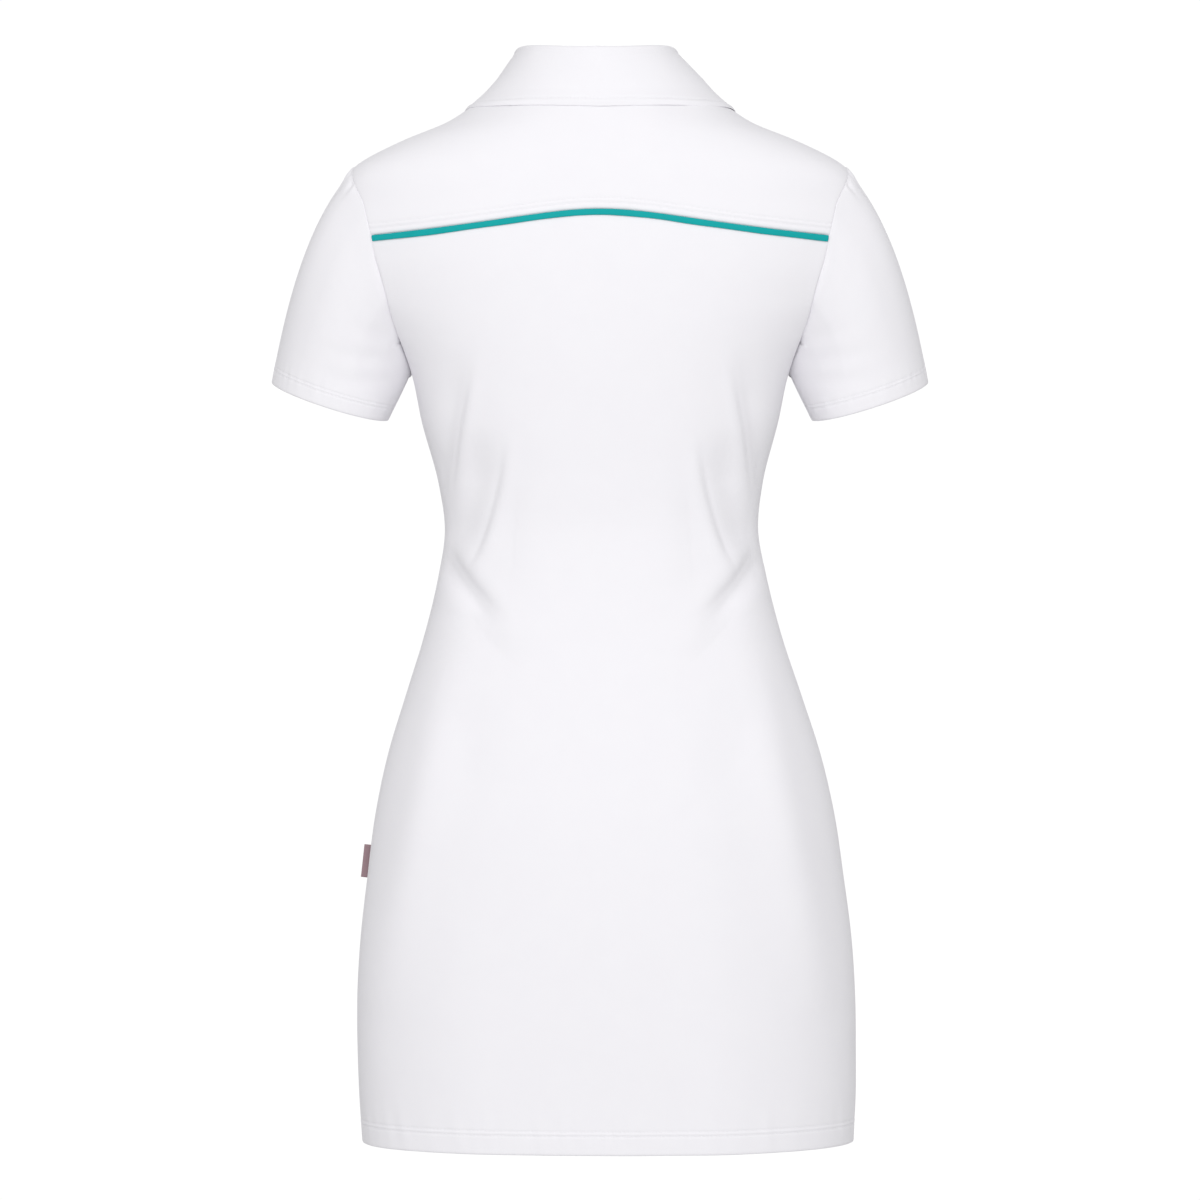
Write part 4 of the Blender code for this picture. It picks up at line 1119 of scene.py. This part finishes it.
def collar_profile(angle):
    """Points of the collar's visible face for one angle round the neck, from the leaf's edge up
    over the fold and down the stand inside the neck. Angle 90 is the back."""
    theta = math.radians(angle)
    seam = body(theta, NECK_Z)
    normal, up = body_frame(theta, NECK_Z)
    out = np.array([math.cos(theta), math.sin(theta), 0.0])
    lift = np.array([0.0, 0.0, 1.0])
    start = seam + up * COLLAR_SEAM_RISE - normal * (COLLAR_THICK + 0.9)
    fold_in = collar_value("fold_in", angle)
    fold = seam - out * fold_in + lift * (collar_value("fold_up", angle) - COLLAR_FOLD_RADIUS)
    into_fold = fold - out * COLLAR_FOLD_RADIUS
    height = np.linalg.norm(into_fold - start)
    t = np.linspace(0, 1, 12)[:-1, None]
    stand = bezier(start, start + up * 0.35 * height, into_fold - lift * 0.35 * height, into_fold, t)
    turn = np.radians(np.linspace(0, 180, 13))[:, None]
    over = fold + COLLAR_FOLD_RADIUS * (lift * np.sin(turn) - out * np.cos(turn))
    edge_place = math.radians(collar_value("edge_angle", angle))
    edge_level = collar_value("edge_level", angle)
    _, edge_up = body_frame(edge_place, edge_level)
    lifted = collar_value("edge_lift", angle) + COLLAR_EDGE_THICK
    edge = dress_surface(np.array([edge_place]), np.array([edge_level]), -lifted, stitch_rows=False)[0]
    length = np.linalg.norm(edge - over[-1])
    spread = COLLAR_LEAF_SPREAD[0] + COLLAR_LEAF_SPREAD[1] * fold_in
    pull = over[-1] + (out * spread - lift * 0.3) * length
    from_edge = np.concatenate([np.linspace(length, 12.0, 26)[:-1], np.linspace(12.0, 0.0, 20)[:-1]])
    t = 1 - from_edge[1:, None] / length
    room = np.interp(from_edge[1:], (0, COLLAR_EDGE_WIDTH), (lifted, COLLAR_CLEARANCE + COLLAR_THICK))
    leaf = clear_of_body(bezier(over[-1], pull, edge + edge_up * 0.3 * length, edge, t), room)
    return np.concatenate([stand, over, leaf, edge[None]])[::-1]


front_end = COLLAR[0].neck_angle + np.array([0.0, 0.25, 0.6])
half = np.concatenate([front_end, np.linspace(-87, 90, COLLAR_HALF_COLUMNS)])
left = np.array([collar_profile(a) for a in half])
face = np.concatenate([left, left[-2::-1] * np.array([-1.0, 1.0, 1.0])]).transpose(1, 0, 2)
run = run_along(face)
sides = run_along(face[14])
from_ends = np.minimum(sides, sides[-1] - sides)
normals = grid_normals(face)
row_dip = bell(run - COLLAR_TOPSTITCH, COLLAR_STITCH_WIDTH) * (from_ends > COLLAR_TOPSTITCH)
end_dip = bell(from_ends[None, :] - COLLAR_TOPSTITCH, COLLAR_STITCH_WIDTH)
end_dip = end_dip * (run > COLLAR_TOPSTITCH) * (run < 60)
dip = 0.25 * bell(run - 0.5 * COLLAR_TOPSTITCH, 2.2) - COLLAR_STITCH_DIP * (row_dip + end_dip)
bend = face[..., 2].max() - face[..., 2]
dip -= 0.30 * bell(bend - 6.8, 1.6) * (run < 62)
waves = 0.35 * ripple(sides / 17.0, 31)[None, :] * ripple(run / 13.0, 32) * eased_step(run, 2, 12)
lean = COLLAR_LEAN * np.clip(face[..., 2] / COLLAR[0].fold_up, 0, 1)
face = face + normals * (dip + waves)[..., None]
face[..., 0] += lean
thick = np.interp(run, (0, COLLAR_EDGE_WIDTH), (COLLAR_EDGE_THICK, COLLAR_THICK))
collar = cloth("collar_jersey", face, thick, JERSEY)
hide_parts("collar")
lines = []
for grid in (face, grid_normals(face)):
    line = [points_at([COLLAR_TOPSTITCH], run[:, c], grid[:, c]) for c in range(len(sides))]
    lines.append(np.concatenate(line)[from_ends > COLLAR_TOPSTITCH])
sew("collar_stitches", [lines])

# Sleeves: short set-in sleeves of one piece of jersey, seamed under the arm. The head is gathered
# into the shoulder with a few uneven puckers, and two rows of stitches hold the turned-up hem.
CUFF_CENTRE = (216.6, -10.0, -256.8)
CUFF_WIDTH = 98.5
CUFF_DEPTH = 104.0
CUFF_TILT = math.radians(18.0)
CUFF_PITCH = math.radians(8.0)
SLEEVE_START = {"top": (0.64, 0.0, -0.77), "middle": (0.66, 0.16, -0.72), "under": (0.40, 0.0, -0.92)}
SLEEVE_END = {"top": (0.17, 0.0, -0.98), "middle": (0.29, -0.14, -0.95), "under": (0.43, 0.0, -0.90)}
SLEEVE_PULL = 0.35
SLEEVE_HEM_ROWS = (11.2, 13.8)
SLEEVE_TURNED_UP = 15.5
SLEEVE_TURNS = np.concatenate([np.arange(-180, -46, 2.4), np.arange(-46, 46, 0.9), np.arange(46, 179, 2.4)])
SLEEVE_HEIGHTS, SLEEVE_DROPS = hem_rows(SLEEVE_TURNED_UP, SLEEVE_HEM_ROWS)
SLEEVE_ROWS = 38
WAY_UP = 1000.0
SEAM_ROW = 2000.0
# The sleeve's edge under the body's: how far past the seam and how deep each row of points lies
TUCK = [(-0.15, 0.1), (-0.1, 0.45), (-0.1, 1.9), (1.0, 2.1), (2.4, 2.1)]

# Puckers in the sleeve's head: the turn round the armhole where each runs in, its depth, its width
# and how far it reaches down the sleeve
Pucker = namedtuple("Pucker", "turn depth width reach")
PUCKERS = [
    Pucker(-34, 1.0, 3.6, 13),
    Pucker(-21, 1.5, 3.2, 18),
    Pucker(-9, 1.2, 3.0, 12),
    Pucker(3, 1.7, 3.2, 20),
    Pucker(13, 1.2, 2.8, 14),
    Pucker(23, 1.6, 3.4, 21),
    Pucker(37, 1.3, 1.9, 10),
]
HEAD_PUFF = 0.8
# Millimetres of cloth for a degree round the sleeve, at its head and underneath
MM_PER_TURN = 0.95
MM_PER_TURN_BELOW = 0.9

# Faint drag lines across the sleeve, from the underarm out to the hem on the far side: turn and
# distance from the cuff at both ends, depth and width
Drag = namedtuple("Drag", "turn1 cuff1 turn2 cuff2 depth width")
DRAGS = [
    Drag(150, 52, 60, 40, 0.9, 7.0),
    Drag(158, 38, 72, 18, 0.7, 6.0),
    Drag(146, 66, 82, 66, 0.6, 8.0),
    Drag(120, 30, 40, 26, 0.5, 7.0),
    Drag(-150, 50, -70, 42, 0.8, 7.0),
    Drag(-140, 34, -60, 20, 0.6, 6.0),
]


def mixed(ends, turn):
    """A direction round the sleeve, from its values at the top, at front or back, and underneath."""
    c, s = math.cos(turn), math.sin(turn)
    top, middle, under = (np.array(ends[k]) for k in ("top", "middle", "under"))
    middle = middle * np.array([1.0, math.copysign(1.0, s) if ends is SLEEVE_START else 1.0, 1.0])
    return unit((top if c >= 0 else under) * c * c + middle * s * s)


def cuff_point(turn):
    """The point of the cuff's edge at a turn round the sleeve."""
    across = np.array([math.cos(CUFF_TILT), 0.0, math.sin(CUFF_TILT)])
    back = np.array([0.0, math.cos(CUFF_PITCH), -math.sin(CUFF_PITCH)])
    reach = across * 0.5 * CUFF_WIDTH * math.cos(turn) + back * 0.5 * CUFF_DEPTH * math.sin(turn)
    return np.array(CUFF_CENTRE) + reach


def tucked_edge(turn, seam, normal):
    """Points of the sleeve's edge from its fold in the seam to its end beneath the body's cloth."""
    along = points_at([turn], ARMHOLE_TURNS, ARMHOLE_ALONG)[0]
    under = unit(np.cross(along, normal))
    if under[1] * seam[1] + under[2] * (seam[2] - ARMHOLE_CENTRE_Z) < 0:
        under = -under
    return np.array([seam + under * past - normal * deep for past, deep in TUCK])


def sleeve_surface(turns, from_cuff):
    """The left sleeve's face at turns round it, for rows of distances from the cuff in mm. Numbers
    from WAY_UP to WAY_UP + 1 are shares of the way from the hem to the seam, and numbers from
    SEAM_ROW up are the rows of its tucked edge."""
    columns, lengths = [], []
    t = np.linspace(0, 1, 160)[:, None]
    for turn_deg in turns:
        turn = math.radians(turn_deg)
        place = armhole_place(float(turn_deg))
        seam = body(*place)
        normal, _ = body_frame(*place)
        sink = float(seam_dips(seam[None])[0][0])
        tuck = tucked_edge(turn_deg, seam, normal)
        seam = tuck[0]
        end = cuff_point(turn)
        length = np.linalg.norm(end - seam)
        first = seam + mixed(SLEEVE_START, turn) * SLEEVE_PULL * length
        last = end - mixed(SLEEVE_END, turn) * SLEEVE_PULL * length
        path = bezier(seam, first, last, end, t)
        run = run_along(path)
        slope = SLEEVE_SLOPE[0] + (SLEEVE_SLOPE[1] - SLEEVE_SLOPE[0]) * eased_step(turn_deg, 70, 105)
        rise = seam_rise(turn_deg, run, slope)
        path = path + normal * armhole_dip(turn_deg, run)[:, None] + BACKWARDS * rise[:, None]
        run = run_along(path)
        total = run[-1]
        way = SLEEVE_HEIGHTS[-1] + 1 + (from_cuff - WAY_UP) * (total - SLEEVE_HEIGHTS[-1] - 1.6)
        up = np.where(from_cuff >= WAY_UP, way, from_cuff)
        at_seam = from_cuff >= SEAM_ROW
        up = np.where(at_seam, total, up)
        column = points_at(total - up, run, path)
        sunk = tuck + normal * sink + BACKWARDS * rise[0]
        column[at_seam] = sunk[(from_cuff[at_seam] - SEAM_ROW).astype(int)]
        columns.append(column)
        lengths.append(np.stack([up, total - up], axis=1))
    return np.array(columns).transpose(1, 0, 2), np.array(lengths).transpose(1, 0, 2)


def sleeve_relief(turns, up, down):
    """How far the sleeve's cloth stands out, from its distances to the cuff and to the seam."""
    moved = np.zeros_like(up)
    sunk_in = eased_step(down, -0.5, 3.0)
    for p in PUCKERS:
        beside = (turns - p.turn) * MM_PER_TURN
        moved -= p.depth * bell(beside, p.width) * bell(down, p.reach) * sunk_in
        swelling = bell(np.abs(beside) - 1.7 * p.width, 0.9 * p.width) * bell(down, 0.8 * p.reach)
        moved += 0.45 * p.depth * swelling * sunk_in
    for d in DRAGS:
        way = np.clip((turns - d.turn1) / (d.turn2 - d.turn1), 0, 1)
        line = d.cuff1 + (d.cuff2 - d.cuff1) * way
        between = (turns - d.turn1) * (turns - d.turn2) < 0
        moved -= between * d.depth * np.sin(math.pi * way) * bell(up - line, d.width)
    moved += needle_dips(up, SLEEVE_HEM_ROWS) * (down > 20)
    moved += 0.25 * ripple(turns / 2.2 + up * 0.04, 41) * bell(up - 12.5, 6.0)
    moved += 0.7 * ripple(turns / 24.0 + up * 0.01, 42) * eased_step(down, 4, 40) * eased_step(up, -10, 30)
    moved -= PLAIN_SEAM_DIP * bell((180 - np.abs(turns)) * MM_PER_TURN_BELOW, 2.2) * (up > 0)
    head = 1 - eased_step(np.abs(turns), 26, 50)
    moved += HEAD_PUFF * head * bell(down - 7.0, 6.0)
    return moved * eased_step(down, 0.0, 2.5)


def sleeve_grid(turns, from_cuff):
    """The sleeve's face with its relief, and its outward normals, for rows in any order."""
    upward, place = np.unique(from_cuff, return_inverse=True)
    face, lengths = sleeve_surface(turns, upward)
    normals = grid_normals(face, closed=True)
    face = face + normals * sleeve_relief(turns[None, :], lengths[..., 0], lengths[..., 1])[..., None]
    return face[place], grid_normals(face, closed=True)[place]


shares = 1 - (1 - np.linspace(0, 1, SLEEVE_ROWS)) ** 1.6
rows = [SLEEVE_HEIGHTS, WAY_UP + shares, SEAM_ROW + np.arange(len(TUCK))]
drops = np.concatenate([SLEEVE_DROPS, np.zeros(SLEEVE_ROWS + len(TUCK))])
face, normals = sleeve_grid(SLEEVE_TURNS, np.concatenate(rows))
face = face - normals * drops[:, None, None]
stitch_lines = []
for row in SLEEVE_HEM_ROWS:
    ring, ring_normals = sleeve_grid(SLEEVE_TURNS, np.array([row - 0.6, row, row + 0.6]))
    stitch_lines.append(tuple(np.concatenate([rows[1], rows[1][:1]]) for rows in (ring, ring_normals)))
for name, side in (("sleeve_left", 1), ("sleeve_right", -1)):
    flip = np.array([side, 1.0, 1.0])
    placed = (face * flip)[:, ::side]
    sleeve = cloth(f"{name}_jersey", placed, CLOTH, JERSEY, closed=True)
    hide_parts(name)
    sew(f"{name}_stitches", [(line * flip, normals * flip) for line, normals in stitch_lines])

# Side tab: a bare strip of woven satin, folded once and caught in the wearer's left side seam
TAB_TOP = -612
TAB_BOTTOM = -638
TAB_REACH = 6.4
TAB_HALF = 0.45
TAB_THICK = 0.3
# The satin's mauve, and a darker mauve that is painted shade in the hollows of the weave.
MAUVE_LIGHT = (0.33, 0.215, 0.24, 1.0)
MAUVE_WEAVE_SHADE = (0.25, 0.155, 0.175, 1.0)
WEFT_PITCH = 0.00045
WARP_PITCH = 0.0003
TWILL_PITCH = 0.0018
SATIN_DEPTH = 0.00008
SATIN = Finish("satin_tab", {"Roughness": 0.45, "Specular IOR Level": 0.5, "Anisotropic": 0.3})
_, across, up = cloth_place(SATIN)
weft = (up / WEFT_PITCH).wave() * 0.5 + 0.5
warp = ((across / WARP_PITCH) + (up / TWILL_PITCH)).wave() * 0.5 + 0.5
# Painted shade: the colour is darker exactly where the weave's relief lies low.
SATIN.feed("Base Color", SATIN.blend(weft * 0.6 + warp * 0.4, MAUVE_WEAVE_SHADE, MAUVE_LIGHT))
SATIN.relief(weft * 0.6 + warp * 0.4, SATIN_DEPTH, 0.6)
bend = np.radians(np.linspace(-90, 90, 9))
reach_in = np.linspace(-1.5, TAB_REACH - TAB_HALF, 7)
out = np.concatenate([reach_in, TAB_REACH - TAB_HALF + TAB_HALF * np.cos(bend[1:-1]), reach_in[::-1]])
deep = np.concatenate([-TAB_HALF + 0 * reach_in, TAB_HALF * np.sin(bend[1:-1]), TAB_HALF + 0 * reach_in])
levels = np.linspace(TAB_BOTTOM, TAB_TOP, 27)
edge = body(0.0, levels)
outward, _ = body_frame(0.0, levels)
curl = 0.5 * np.sin(np.linspace(0, 2.2, len(levels)))[:, None] * (np.clip(out, 0, None) / TAB_REACH) ** 2
face = edge[:, None] + outward[:, None] * (out[:, None] - 0.3)
face[..., 1] += deep + curl
tab = cloth("side_tab_woven", face, TAB_THICK, SATIN)
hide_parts("side_tab")
